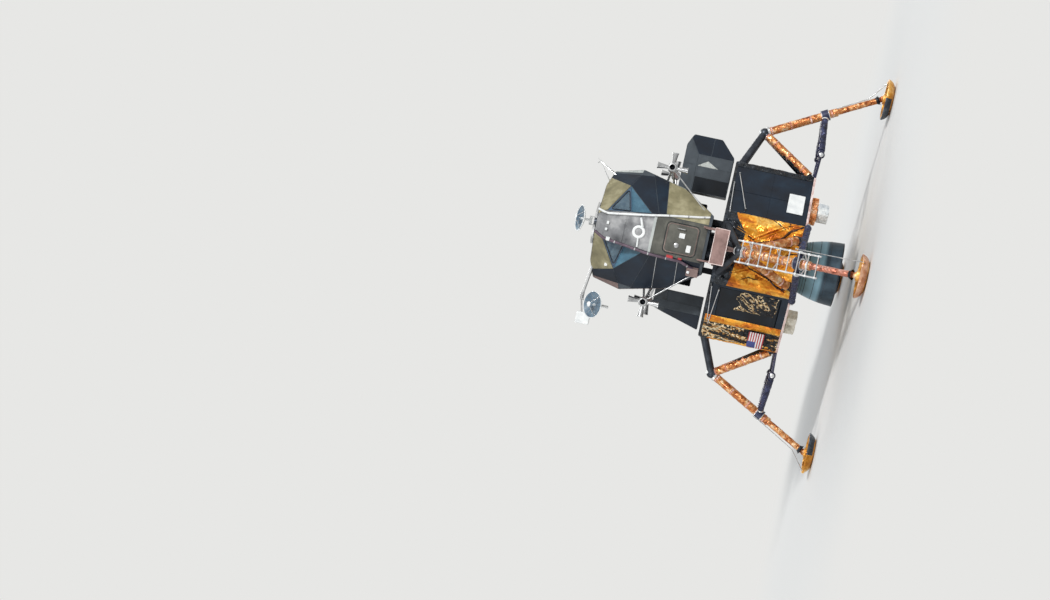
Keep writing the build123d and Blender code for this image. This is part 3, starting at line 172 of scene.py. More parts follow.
def tilted_flats(tree, place, size_mm):
    """Height in metres of a crowd of small flats, each tilted its own way, and a value from the same random
    colour that tilts each flat, which the film uses as painted light on the flat and for its roughness.
    """
    cells = add(tree, "ShaderNodeTexVoronoi", {"Scale": 1000 / size_mm, "Randomness": 1.0}, {"Vector": place})
    colour = cells.outputs["Color"]
    apart = add(tree, "ShaderNodeVectorMath", links={0: place, 1: cells.outputs["Position"]},
                operation="SUBTRACT")
    lean = add(tree, "ShaderNodeVectorMath", {1: (0.5, 0.5, 0.5)}, {0: colour}, operation="SUBTRACT")
    height = add(tree, "ShaderNodeVectorMath", links={0: apart, 1: lean}, operation="DOT_PRODUCT")
    shade = add(tree, "ShaderNodeSeparateColor", links={0: colour})
    return height.outputs["Value"], shade


def crumpled_film(name, colours, stops, metallic=0.55, rough=(0.24, 0.5), facet_mm=60, patch_mm=260,
                  stretch=None, lean=0.8, grain_mm=5, detail=6.0):
    """Metallised polyimide film, crushed by hand and taped down.

    Thin plastic with metal behind it: flats at random angles, each with a tone that follows its tilt as
    painted light, painted shade where the creases close up and a painted highlight along the ridges.
    Stretch turns the colour patches and draws them out along one way."""
    material, tree, shader, place = blank(name)
    across = place
    if stretch:
        turn, longer = stretch
        across = add(tree, "ShaderNodeMapping", {"Rotation": turn, "Scale": (1, 1, longer)},
                     {"Vector": place}, vector_type="TEXTURE")
    height, shade = tilted_flats(tree, place, facet_mm)
    tone = add(tree, "ShaderNodeTexNoise", sized(patch_mm, detail), {"Vector": across}, noise_type="FBM")
    crease = add(tree, "ShaderNodeNewGeometry").outputs["Pointiness"]
    # Painted shade and highlight: the tone drops where the mesh's creases close up and rises on its ridges
    crease_shade_ridge_light = {"From Min": 0.40, "From Max": 0.56, "To Min": -0.20, "To Max": 0.12}
    # The second term adds each flat's painted light, from the same colour that tilts the flat
    for spans, value in ((crease_shade_ridge_light, crease), ({"To Min": -0.07, "To Max": 0.07}, shade)):
        part = add(tree, "ShaderNodeMapRange", spans, {"Value": value})
        tone = add(tree, "ShaderNodeMath", links={0: tone, 1: part}, operation="ADD")
    coloured(tree, shader, tone, colours, stops)
    roughened(tree, shader, shade, *rough)
    shader.inputs["Metallic"].default_value = metallic
    flats = add(tree, "ShaderNodeBump", {"Strength": lean, "Distance": 1.0}, {"Height": height})
    embossed(tree, shader, place, facet_mm * 0.8, 4.0, grain_mm, 0.6, flats)
    return material


def thermal_paint(name, colours, stops=THREE, rough=0.5, patch_mm=500, dent_mm=3.0, metallic=0.0,
                  specular=0.5):
    """Thin sheet under matt heat-control paint, rolled and pinned at its edges.

    Flat colour with broad faint patches, and shallow dents between the pins."""
    material, tree, shader, place = blank(name)
    mottled(tree, shader, place, patch_mm, 4.0, colours, stops)
    fine = add(tree, "ShaderNodeTexNoise", sized(22, 2.0), {"Vector": place}, noise_type="FBM")
    roughened(tree, shader, fine, rough - 0.08, rough + 0.08)
    shader.inputs["Metallic"].default_value = metallic
    shader.inputs["Specular IOR Level"].default_value = specular
    embossed(tree, shader, place, 340, 1.0, dent_mm, 0.6)
    return material


def rolled_metal(name, colours, stops=THREE, rough=0.32, metallic=1.0, patch_mm=260, scratch_mm=6):
    """Rolled or drawn aluminium, satin and clear anodised.

    Soft wide reflections with fine drawn scratches and fingermark patches. The scratches are drawn coarser
    than real ones, so that they show."""
    material, tree, shader, place = blank(name)
    patches = mottled(tree, shader, place, patch_mm, 4.0, colours, stops)
    drawn_out = add(tree, "ShaderNodeMapping", {"Scale": (1, 1, 0.08)}, {"Vector": place})
    roughened(tree, shader, patches, rough - 0.08, rough + 0.12)
    shader.inputs["Metallic"].default_value = metallic
    embossed(tree, shader, drawn_out, scratch_mm, 2.0, 0.4, 0.5)
    return material


def nozzle_alloy(name):
    """Niobium alloy under a baked silicide coat, spun to shape.

    Blue-grey and dull, paler in a band round the middle where it ran hot, with fine spinning rings."""
    material, tree, shader, place = blank(name)
    height = add(tree, "ShaderNodeSeparateXYZ", links={"Vector": place}).outputs["Z"]
    up_bell = add(tree, "ShaderNodeMapRange", {"From Min": 0.36, "From Max": 1.96}, {"Value": height})
    heated = add(tree, "ShaderNodeValToRGB", links={"Fac": up_bell}, stops=(
        (0.0, "#27333d"), (0.21, "#2f3f4c"), (0.26, "#8db4c6"), (0.55, "#7a9fb4"), (0.75, "#3a4a58"),
        (1.0, "#20262e")))
    patches = add(tree, "ShaderNodeTexNoise", sized(240, 4.0), {"Vector": place}, noise_type="FBM")
    bloom = add(tree, "ShaderNodeValToRGB", links={"Fac": patches},
                stops=((0.3, "#10161d"), (0.7, "#8fb0c4")))
    shade = add(tree, "ShaderNodeMix", {0: 0.15}, {6: heated, 7: bloom}, data_type="RGBA", blend_type="MIX")
    join(tree, shade.outputs[2], shader.inputs["Base Color"])
    roughened(tree, shader, patches, 0.38, 0.6)
    shader.inputs["Metallic"].default_value = 0.55
    rings = add(tree, "ShaderNodeTexWave", {"Scale": 12.0, "Distortion": 0.3}, {"Vector": place},
                wave_type="BANDS", bands_direction="Z")
    relief = add(tree, "ShaderNodeBump", {"Strength": 0.4, "Distance": 0.0008},
                 {"Height": rings.outputs["Fac"]})
    join(tree, relief, shader.inputs["Normal"])
    return material


def coated_glass(name):
    """Fused silica pane with a blue heat-reflecting coat, polished.

    Clear and sharp in its reflections, with a faint blue haze."""
    material, tree, shader, place = blank(name)
    mottled(tree, shader, place, 120, 2.0, "#4d6a80 #7d97a6", (0.3, 0.7))
    for socket, value in (("Roughness", 0.05), ("IOR", 1.46), ("Transmission Weight", 0.45),
                          ("Coat Weight", 0.5)):
        shader.inputs[socket].default_value = value
    return material


FINISHES = {}


def make_finishes():
    """Every finish of the craft, by the name that the pieces use."""
    FINISHES.update({
        # In the gold and amber films the palest colours are painted highlights, spread by the random patches
        # and the ridges
        "gold film": crumpled_film(
            "gold_polyimide_film_crumpled", "#4a1c06 #a8500e #d57c18 #e69f2e #f5c766 #ffeec4",
            (0.22, 0.34, 0.45, 0.56, 0.68, 0.80), facet_mm=150, patch_mm=300,
            stretch=((0.0, 0.25, 0.0), 2.6), lean=0.55, grain_mm=3),
        "strut film": crumpled_film(
            "amber_polyimide_film_wrapped", "#5a2a14 #98502a #bd7640 #d7a06a #f3dcbc",
            (0.25, 0.38, 0.50, 0.62, 0.76), facet_mm=48, patch_mm=120, lean=0.6),
        "rose film": crumpled_film(
            "rose_polyimide_film_wrapped", "#6a3226 #a5604a #c27c66 #d9a08e #f3d8cf",
            (0.22, 0.38, 0.50, 0.62, 0.76), facet_mm=34, patch_mm=160),
        "mixed film": crumpled_film(
            "layered_film_blanket_crumpled", "#0b0e12 #1b1a18 #b07a2c #f0dfba #3a3226 #0d1014",
            (0.34, 0.45, 0.50, 0.55, 0.60, 0.68), metallic=0.4, patch_mm=170,
            stretch=((0.12, 0.16, 0.0), 6.5), grain_mm=2, detail=1.5),
        "streak film": crumpled_film(
            "torn_film_over_black_coat", "#0b0f14 #11161c #a87a34 #f2e6c8 #b98f48 #11161c",
            (0.44, 0.505, 0.525, 0.56, 0.585, 0.62), metallic=0.35, patch_mm=150,
            stretch=((0.471, 0.535, 0.0), 7.0), grain_mm=2, detail=1.5),
        "peach film": crumpled_film(
            "peach_polyimide_film_crumpled", "#8a4a2a #c4713a #df9660 #f0c09a #fbe4d4",
            (0.25, 0.40, 0.52, 0.66, 0.80), facet_mm=70, patch_mm=200),
        "pad rose": crumpled_film(
            "copper_film_on_pad_smooth", "#6b3a26 #a8643f #c58a64 #e8c3a6", (0.22, 0.40, 0.55, 0.78),
            facet_mm=90, lean=0.4),
        "pad film": crumpled_film(
            "amber_film_on_pad_smooth", "#6a3a10 #b0701e #cf9236 #f2cd88", (0.22, 0.40, 0.55, 0.78),
            facet_mm=90, lean=0.4),
        "pad black": crumpled_film(
            "black_film_on_pad_smooth", "#14181d #262c33 #39414a #5b646d", (0.22, 0.45, 0.60, 0.80),
            metallic=0.2, facet_mm=90, lean=0.3),
        "black film": crumpled_film(
            "black_coated_film_crumpled", "#07090c #10151b #1c232b #39424c", (0.25, 0.45, 0.60, 0.80),
            metallic=0.25, facet_mm=80),
        "base film": crumpled_film(
            "aluminised_film_base_taut", "#3a2a18 #7d5a30 #a98348 #dcc089", (0.22, 0.42, 0.58, 0.78),
            facet_mm=120, lean=0.4),
        # Dark film that paints the shadow in the front's creases
        "crease shadow film": crumpled_film(
            "dark_film_as_painted_crease_shadow", "#120a08 #23130d #3a2015 #6d4526", (0.25, 0.45, 0.60, 0.80),
            metallic=0.3),
        "white film": crumpled_film(
            "white_beta_cloth_crumpled", "#8d9298 #bcc1c4 #d8dad8 #ececea", (0.25, 0.42, 0.58, 0.78),
            metallic=0.0, rough=(0.5, 0.8), facet_mm=70, lean=0.4),
        "cream film": crumpled_film(
            "cream_beta_cloth_crumpled", "#8d8577 #bdb5a4 #d9d2c2 #edeae0", (0.25, 0.42, 0.58, 0.78),
            metallic=0.0, rough=(0.5, 0.8), facet_mm=70, lean=0.4),
        "blush film": crumpled_film(
            "blush_film_tape_on_edge", "#9a7c76 #c9a9a2 #e2ccc6 #f4e9e5", (0.25, 0.45, 0.60, 0.80),
            metallic=0.1, rough=(0.4, 0.6), lean=0.4),
        "indigo film": crumpled_film(
            "indigo_coated_film_wrapped", "#0f1120 #1b1e36 #2a2e4c #4d5276", (0.25, 0.42, 0.58, 0.78),
            metallic=0.3, facet_mm=50, patch_mm=180),
        "black paint": thermal_paint(
            "black_heat_paint_on_nickel_foil", "#07090d #0c1219 #131c26", (0.30, 0.55, 0.75), specular=0.25),
        "navy paint": thermal_paint(
            "navy_heat_paint_on_foil", "#0a111c #0f1c2a #172a3a", PAINT, rough=0.46, specular=0.3),
        "slate paint": thermal_paint("slate_heat_paint_on_sheet", "#2a3138 #3b434a #50595f", PAINT),
        "pale paint": thermal_paint("pale_grey_heat_paint_on_sheet", "#9aa09e #b4b8b4 #c9cbc6", PAINT),
        "khaki sheet": thermal_paint(
            "khaki_anodised_sheet", "#69634a #8c8566 #b7af8f", (0.25, 0.50, 0.75), rough=0.42, patch_mm=320,
            metallic=0.35),
        "grey sheet": thermal_paint(
            "grey_anodised_sheet", "#43433f #55554f #6d6c64", rough=0.46, patch_mm=260, metallic=0.4),
        "rose sheet": thermal_paint(
            "rose_grey_anodised_sheet", "#6c5a57 #8d7772 #b39d97", rough=0.44, metallic=0.35),
        # Window sills: teal and blue-grey painted in as reflection on a dark sheet
        "teal sill": thermal_paint(
            "teal_painted_reflection_on_sill", "#2c4d5e #3d6579 #5b8698", rough=0.3, patch_mm=300, specular=0.7),
        "slate sill": thermal_paint(
            "blue_grey_painted_reflection_on_sill", "#33475a #46607a #607d92", rough=0.3, patch_mm=300, specular=0.7),
        "strut paint": thermal_paint(
            "navy_enamel_on_tube", "#14172a #202440 #333a58", rough=0.38, patch_mm=180),
        "plum paint": thermal_paint(
            "plum_heat_paint_on_edge_tube", "#3c2f3a #544350 #735f6c", rough=0.45, patch_mm=160, dent_mm=0.8),
        "porch paint": thermal_paint(
            "red_brown_primer_on_plate", "#69504a #8a6e68 #aa8d86", rough=0.55, patch_mm=220),
        "white paint": thermal_paint(
            "white_heat_paint", "#c9cccd #dcdedd #ebecea", rough=0.45, patch_mm=180, dent_mm=0.6),
        "dish face": thermal_paint(
            "blue_grey_paint_in_dish", "#3f5160 #5b7080 #8297a3", rough=0.35, patch_mm=180, dent_mm=0.6),
        "red enamel": thermal_paint("red_enamel", "#8c2327 #a92c30 #bf4746", dent_mm=0.4),
        "blue enamel": thermal_paint("blue_enamel", "#232a5c #2e3875 #43508f", dent_mm=0.4),
        "white enamel": thermal_paint("white_enamel", "#cfd1d1 #dddedc #e8e8e6", dent_mm=0.4),
        "silver sheet": rolled_metal(
            "bright_rolled_aluminium_sheet", "#47484b #77787a #b4b4b4", (0.25, 0.50, 0.75), rough=0.38,
            metallic=0.6, patch_mm=420),
        "satin metal": rolled_metal("satin_aluminium_tube", "#8f9092 #b3b4b5 #d6d6d6"),
        "bright metal": rolled_metal("polished_aluminium_tube", "#b8babc #d4d5d6 #efefef", rough=0.24),
        "dark metal": rolled_metal("hard_anodised_aluminium", "#26292e #383c43 #50555c", rough=0.4,
                                   metallic=0.8),
        "nozzle": nozzle_alloy("coated_niobium_alloy_spun"),
        "glass": coated_glass("blue_coated_silica_glass"),
    })


# Mesh code

SKIN_LIFT = 0.003
SKIN_THICK = 0.004
RIVET_INSET = 0.022
SHORTEST_RIVETED = 0.09
TIP = 0.0005    # radius that the point of a turned shape keeps


def spokes(count, side=Vector((1, 0, 0)), up=ALONG_Y, first=0.0):
    """Directions evenly round a circle from side towards up, the first one at an angle."""
    angles = [first + 2 * pi * k / count for k in range(count)]
    return [side * cos(angle) + up * sin(angle) for angle in angles]


def hoop(inner, outer, start, end, ease):
    """Profile of a ring with eased edges, as radius and height."""
    return (inner, start), (outer, start + ease), (outer, end - ease), (inner, end)


def mirrored(point, side):
    """A leg's point on the side of the leg where side is 1, or on the other where it is -1."""
    return Vector((point.x, side * point.y, point.z))


def thicken(mesh, faces, rise):
    """Raises faces by a vector and closes the sides below them."""
    for item in bmesh.ops.extrude_face_region(mesh, geom=faces)["geom"]:
        if isinstance(item, bmesh.types.BMVert):
            item.co += rise


class Form:
    """The mesh of one piece in the making, in metres in the craft's frame."""

    def __init__(self):
        self.mesh = bmesh.new()

    def take(self, part):
        """Takes in a copy of a loose mesh and frees it."""
        copies = {v: self.mesh.verts.new(v.co) for v in part.verts}
        for face in part.faces:
            self.mesh.faces.new([copies[v] for v in face.verts])
        part.free()
        return self

    def rows(self, rows, closed=False, caps=False):
        """Skins rows of points, each row as long as the next."""
        made = [[self.mesh.verts.new(point) for point in row] for row in rows]
        for near, far in zip(made, made[1:]):
            count = len(near)
            for i in range(count if closed else count - 1):
                j = (i + 1) % count
                self.mesh.faces.new((near[i], near[j], far[j], far[i]))
        if caps:
            self.mesh.faces.new(list(reversed(made[0])))
            self.mesh.faces.new(made[-1])
        return self

    def pipe(self, points, radius, sides=14):
        """A round bar along points."""
        points = [Vector(p) for p in points]
        rows = []
        side = None
        for i, point in enumerate(points):
            axis = (points[min(i + 1, len(points) - 1)] - points[max(i - 1, 0)]).normalized()
            if side is None:
                side = axis.orthogonal().normalized()
            side = (side - axis * side.dot(axis)).normalized()
            rows.append([point + way * radius for way in spokes(sides, side, axis.cross(side))])
        return self.rows(rows, closed=True, caps=True)

    def turned(self, profile, base=(0, 0, 0), axis=(0, 0, 1), steps=40, caps=False):
        """A turned shape from (radius, height) points about an axis through base."""
        axis = Vector(axis).normalized()
        side = axis.orthogonal().normalized()
        around = spokes(steps, side, axis.cross(side))
        rows = [[Vector(base) + axis * height + way * max(radius, TIP) for way in around]
                for radius, height in profile]
        return self.rows(rows, closed=True, caps=caps)

    def box(self, centre, size, turn=None):
        """A box about centre, turned by a matrix."""
        place = Matrix.Translation(Vector(centre)) @ (turn.to_4x4() if turn else Matrix())
        bmesh.ops.create_cube(self.mesh, size=1.0, matrix=place @ Matrix.Diagonal((*size, 1)))
        return self

    def slab(self, corners, thick):
        """A flat plate from its corners, thickened towards its normal."""
        face = self.mesh.faces.new([self.mesh.verts.new(Vector(c)) for c in corners])
        face.normal_update()
        thicken(self.mesh, [face], face.normal * thick)
        return self

    def stud(self, point, normal, radius=0.006, height=0.003):
        """A domed rivet head."""
        dome = ((radius, 0), (radius * 0.92, height * 0.55), (radius * 0.5, height))
        return self.turned(dome, point, normal, 8, True)

    def piece(self, name, finish, body="lander", smooth=30.0, bevel=0.0, replaces=(), turn=0):
        """Makes the mesh a piece that rides on a body."""
        if turn:
            whole_turn = Matrix.Rotation(radians(turn), 3, "Z")
            bmesh.ops.rotate(self.mesh, verts=self.mesh.verts, matrix=whole_turn)
        bmesh.ops.recalc_face_normals(self.mesh, faces=self.mesh.faces)
        data = bpy.data.meshes.new(name)
        self.mesh.to_mesh(data)
        self.mesh.free()
        made = bpy.data.objects.new(name, data)
        bpy.context.scene.collection.objects.link(made)
        data.materials.append(FINISHES[finish])
        if bevel:
            edges = made.modifiers.new("edges", "BEVEL")
            edges.width = bevel
            edges.segments = 2
            edges.limit_method = "ANGLE"
            edges.harden_normals = False
        if smooth:
            data.shade_smooth()
            data.set_sharp_from_angle(angle=radians(smooth))
        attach(made, body)
        if replaces:
            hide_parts(*replaces)
        return made


def ridges(point, size, seed=0.0):
    """Height from 0 to 1 of film crushed into sharp ridges about size apart."""
    at = Vector(point) / size + Vector((seed, seed * 1.7, -seed))
    warp = noise.noise_vector(at * 0.7) * 0.6
    return 1.0 - min(1.0, abs(noise.noise(at + warp)) * 2.4)


def crush(point, seed=0.0, large=0.42, small=0.11):
    """Relief from -1 to 1 of hand-crumpled film."""
    return (ridges(point, large, seed) + ridges(point, small, seed + 5) * 0.55
            + ridges(point, small * 0.4, seed + 9) * 0.25) / 0.9 - 1.0


def flat_regions(node):
    """The flat faces of a CAD node, each as its normal and a list of triangles' corners."""
    mesh = bmesh.new()
    mesh.from_mesh(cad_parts[node].data)
    bmesh.ops.remove_doubles(mesh, verts=mesh.verts, dist=1e-5)
    mesh.normal_update()
    waiting = set(mesh.faces)
    regions = []
    for seed in mesh.faces:
        if seed not in waiting:
            continue
        waiting.remove(seed)
        region = [seed]
        queue = [seed]
        while queue:
            face = queue.pop()
            for edge in face.edges:
                for other in edge.link_faces:
                    if other in waiting and other.normal.dot(seed.normal) > 0.99996:
                        waiting.remove(other)
                        region.append(other)
                        queue.append(other)
        regions.append((seed.normal.copy(), [[v.co.copy() for v in f.verts] for f in region]))
    mesh.free()
    return regions


def twice_area(region):
    """Twice the area of a flat region."""
    return sum((b - a).cross(c - a).length for a, b, c in region[1])


def rivets(studs, edge, normal, pitch):
    """A row of rivets inside one edge of a panel."""
    start, end = (v.co for v in edge.verts)
    length = (end - start).length
    if length < SHORTEST_RIVETED:
        return
    inward = normal.cross(end - start).normalized()
    if inward.dot(edge.link_faces[0].calc_center_median() - start) < 0:
        inward.negate()
    count = max(1, round(length / pitch))
    for k in range(count):
        place = start.lerp(end, (k + 0.5) / count) + inward * RIVET_INSET
        studs.stud(place + normal * (SKIN_LIFT + SKIN_THICK), normal)


def skin(form, studs, normal, triangles, gap, pitch, split=()):
    """Lays a thin panel over a flat face, short of its edges, with a row of rivets round it."""
    work = bmesh.new()
    for corners in triangles:
        work.faces.new([work.verts.new(c) for c in corners])
    bmesh.ops.remove_doubles(work, verts=work.verts, dist=1e-5)
    for plane_point, plane_normal in split:
        geom = list(work.verts) + list(work.edges) + list(work.faces)
        bmesh.ops.bisect_plane(work, geom=geom, plane_co=plane_point, plane_no=plane_normal, dist=1e-6,
                               clear_outer=True)
    bmesh.ops.dissolve_limit(work, angle_limit=radians(0.5), verts=work.verts, edges=work.edges)
    if not work.faces:
        work.free()
        return
    border = bmesh.ops.inset_region(work, faces=work.faces, thickness=gap, use_even_offset=True,
                                    use_boundary=True)
    bmesh.ops.delete(work, geom=border["faces"], context="FACES")
    for edge in [e for e in work.edges if e.is_boundary]:
        rivets(studs, edge, normal, pitch)
    for vert in work.verts:
        vert.co += normal * SKIN_LIFT
    thicken(work, list(work.faces), normal * SKIN_THICK)
    form.take(work)


def panels(form, studs, normal, triangles, gap, pitch, largest=0.80):
    """Lays skin over a flat face in panels that are about as long as the largest sheet at most."""
    level_face = abs(normal.z) > 0.99
    side = Vector((1, 0, 0)) if level_face else normal.cross(Vector((0, 0, 1))).normalized()
    cuts = []
    for way in (side, normal.cross(side).normalized()):
        reach = [corner.dot(way) for corners in triangles for corner in corners]
        low, high = min(reach), max(reach)
        count = max(1, round((high - low) / largest + 0.35))
        step = (high - low) / count
        cuts.append([((way * (low + step * (k + 1)), way), (way * (low + step * k), -way))
                     for k in range(count)])
    for across in cuts[0]:
        for along in cuts[1]:
            skin(form, studs, normal, triangles, gap, pitch, across + along)


# Settings


class LanderSizes(bpy.types.PropertyGroup):
    """Sizes that a user would change."""

    foil_crush: FloatProperty(
        name="Foil crush", description="How deep the crumpled foil of the sides is", default=0.016,
        min=0.0, max=0.03, subtype="DISTANCE", unit="LENGTH")
    wrap_crush: FloatProperty(
        name="Wrap crush", description="How deep the foil wrapped round the struts is", default=0.009,
        min=0.0, max=0.02, subtype="DISTANCE", unit="LENGTH")
    panel_gap: FloatProperty(
        name="Panel gap", description="Distance from a skin panel to the edge of its face", default=0.010,
        min=0.002, max=0.03, subtype="DISTANCE", unit="LENGTH")
    rivet_pitch: FloatProperty(
        name="Rivet pitch", description="Distance between the rivets along a panel's edge", default=0.115,
        min=0.04, max=0.4, subtype="DISTANCE", unit="LENGTH")
    backdrop: FloatVectorProperty(
        name="Backdrop", description="Colour behind the craft", default=linear("#f2f2f0")[:3],
        min=0.0, max=1.0, subtype="COLOR")


def sizes():
    """The scene's settings."""
    return bpy.context.scene.lander_sizes


# Stage

# Where the camera stands, and which ways are right, up and ahead in its picture
CAMERA_PLACE = (-0.7783, -45.5428, 3.049)
CAMERA_RIGHT = Vector((0.21374, 0.09967, -0.97179))
CAMERA_UP = Vector((0.97643, 0.00882, 0.21566))
CAMERA_AHEAD = Vector((-0.03007, 0.99498, 0.09544))
CAMERA_LENS = 65.954
# Name, strength, spread in degrees and direction of each lamp
LAMPS = (("key_lamp", 2.6, 9, (-0.45, 0.80, -0.55)), ("fill_lamp", 0.7, 40, (0.75, 0.55, -0.15)),
         ("rim_lamp", 0.8, 30, (-0.2, -0.9, -0.5)))
BACKDROP_LIGHT = 0.90
ROOM_LIGHT = 0.55
FLOOR_HALF = 60
FLOOR_FADE = (6.0, 15.0)    # metres from the craft's middle where the floor turns into the backdrop


class LANDER_OT_stage(bpy.types.Operator):
    """Makes the camera, the lamps, the pale floor and the world"""

    bl_idname = "lander.stage"
    bl_label = "Stage"

    def execute(self, context):
        scene = context.scene
        lens = bpy.data.cameras.new("camera")
        lens.lens = CAMERA_LENS
        lens.sensor_width = 36
        lens.clip_end = 400
        camera = bpy.data.objects.new("camera", lens)
        ways = Matrix((CAMERA_RIGHT, CAMERA_UP, -CAMERA_AHEAD)).transposed().to_4x4()
        camera.matrix_world = Matrix.Translation(CAMERA_PLACE) @ ways
        scene.collection.objects.link(camera)
        scene.camera = camera
        for name, energy, spread_deg, way in LAMPS:
            light = bpy.data.lights.new(name, "SUN")
            light.energy = energy
            light.angle = radians(spread_deg)
            lamp = bpy.data.objects.new(name, light)
            lamp.rotation_mode = "QUATERNION"
            lamp.rotation_quaternion = Vector(way).to_track_quat("-Z", "Y")
            scene.collection.objects.link(lamp)
        scene.view_settings.view_transform = "Standard"
        backdrop = (*sizes().backdrop, 1)
        self.room(scene, backdrop)
        self.floor(scene, backdrop)
        return {"FINISHED"}

    def room(self, scene, backdrop):
        """World that lights the craft softly, and that the camera, metal and glass see as the backdrop."""
        world = bpy.data.worlds.new("pale_room")
        world.use_nodes = True
        tree = world.node_tree
        tree.nodes.clear()
        rays = add(tree, "ShaderNodeLightPath").outputs
        seen = rays["Is Camera Ray"]
        for ray in ("Is Glossy Ray", "Is Transmission Ray"):
            seen = add(tree, "ShaderNodeMath", links={0: seen, 1: rays[ray]}, operation="MAXIMUM")
        room = add(tree, "ShaderNodeBackground", {"Color": linear("#e6ebf0"), "Strength": ROOM_LIGHT})
        shown = add(tree, "ShaderNodeBackground", {"Color": backdrop, "Strength": BACKDROP_LIGHT})
        both = add(tree, "ShaderNodeMixShader", links={0: seen, 1: room, 2: shown})
        add(tree, "ShaderNodeOutputWorld", links={"Surface": both})
        scene.world = world

    def floor(self, scene, backdrop):
        """Pale floor that keeps the shadow near the craft and fades into the backdrop."""
        data = bpy.data.meshes.new("floor")
        reach = FLOOR_HALF
        corners = [(-reach, -reach, 0), (reach, -reach, 0), (reach, reach, 0), (-reach, reach, 0)]
        data.from_pydata(corners, [], [(0, 1, 2, 3)])
        floor = bpy.data.objects.new("floor", data)
        scene.collection.objects.link(floor)
        material, tree, shader, place = blank("pale_floor")
        shader.inputs["Base Color"].default_value = linear("#dcdcda")
        shader.inputs["Roughness"].default_value = 0.9
        away = add(tree, "ShaderNodeVectorMath", links={0: place}, operation="LENGTH").outputs["Value"]
        faded = add(tree, "ShaderNodeMapRange", {"From Min": FLOOR_FADE[0], "From Max": FLOOR_FADE[1]},
                    {"Value": away}, interpolation_type="SMOOTHSTEP")
        glow = add(tree, "ShaderNodeEmission", {"Color": backdrop, "Strength": BACKDROP_LIGHT})
        both = add(tree, "ShaderNodeMixShader", links={0: faded, 1: shader, 2: glow})
        join(tree, both, tree.nodes["Material Output"].inputs["Surface"])
        data.materials.append(material)


# Finishes of the CAD's own nodes

NODE_FINISH = {
    "descent_core": "dark metal", "base_heat_shield": "base film", "top_deck_blanket": "black paint",
    "dark_panels": "navy paint", "lower_boxes": "gold film", "bay_door": "black paint",
    "gimbal_ring": "satin metal", "descent_engine": "nozzle", "ladder": "bright metal",
    "porch": "porch paint", "cabin_floor": "slate paint", "cabin_front": "slate paint",
    "cabin_shell": "slate paint", "window_panes": "glass", "console": "grey sheet",
    "midsection": "slate paint", "ascent_engine": "dark metal", "aft_bay": "black paint",
    "tank_bulge_right": "slate paint", "tank_bulge_left": "slate paint", "stage_posts": "black paint",
    "docking_tunnel": "satin metal", "drogue": "satin metal", "overhead_hatch": "grey sheet",
    "forward_hatch": "grey sheet", "radar_mount": "dark metal", "radar_yoke": "satin metal",
    "radar_dish": "white paint", "antenna_boom": "bright metal", "antenna_head": "satin metal",
    "antenna_dish": "white paint", "whip_antenna": "bright metal", "gold_blankets": "gold film",
}
# Nodes that come four times, by how their names start
REPEATED_FINISH = {"outrigger": "dark metal", "primary_strut": "strut film", "side_struts": "strut paint",
                   "footpad": "pad film", "probe": "satin metal", "quad": "satin metal"}


class LANDER_OT_finishes(bpy.types.Operator):
    """Makes the materials and gives each CAD node its own"""

    bl_idname = "lander.finishes"
    bl_label = "Finishes"

    def execute(self, context):
        make_finishes()
        for name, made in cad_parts.items():
            finish = NODE_FINISH.get(name) or next(
                f for start, f in REPEATED_FINISH.items() if name.startswith(start))
            made.data.materials.clear()
            made.data.materials.append(FINISHES[finish])
        return {"FINISHED"}


# Film on the descent stage and its legs


def level(edge, along):
    """Height of a sheet's edge: a number, or points as (distance from the path's middle, height)."""
    if isinstance(edge, (int, float)):
        return edge
    if along <= edge[0][0]:
        return edge[0][1]
    for (s0, z0), (s1, z1) in zip(edge, edge[1:]):
        if along <= s1:
            return z0 + (z1 - z0) * (along - s0) / (s1 - s0)
    return edge[-1][1]


def crease_relief(here, crease):
    """Height that one deep crease adds to a sheet: a groove with a ridge on either side."""
    (s0, z0), (s1, z1), depth, width = crease
    start, line = Vector((s0, z0)), Vector((s1 - s0, z1 - z0))
    part = max(0.0, min(1.0, (here - start).dot(line) / line.length_squared))
    off = (here - start - line * part).length / width
    return depth * (0.9 * exp(-((off - 1.8) ** 2)) - exp(-off * off)) * (0.4 + 0.6 * sin(pi * part))


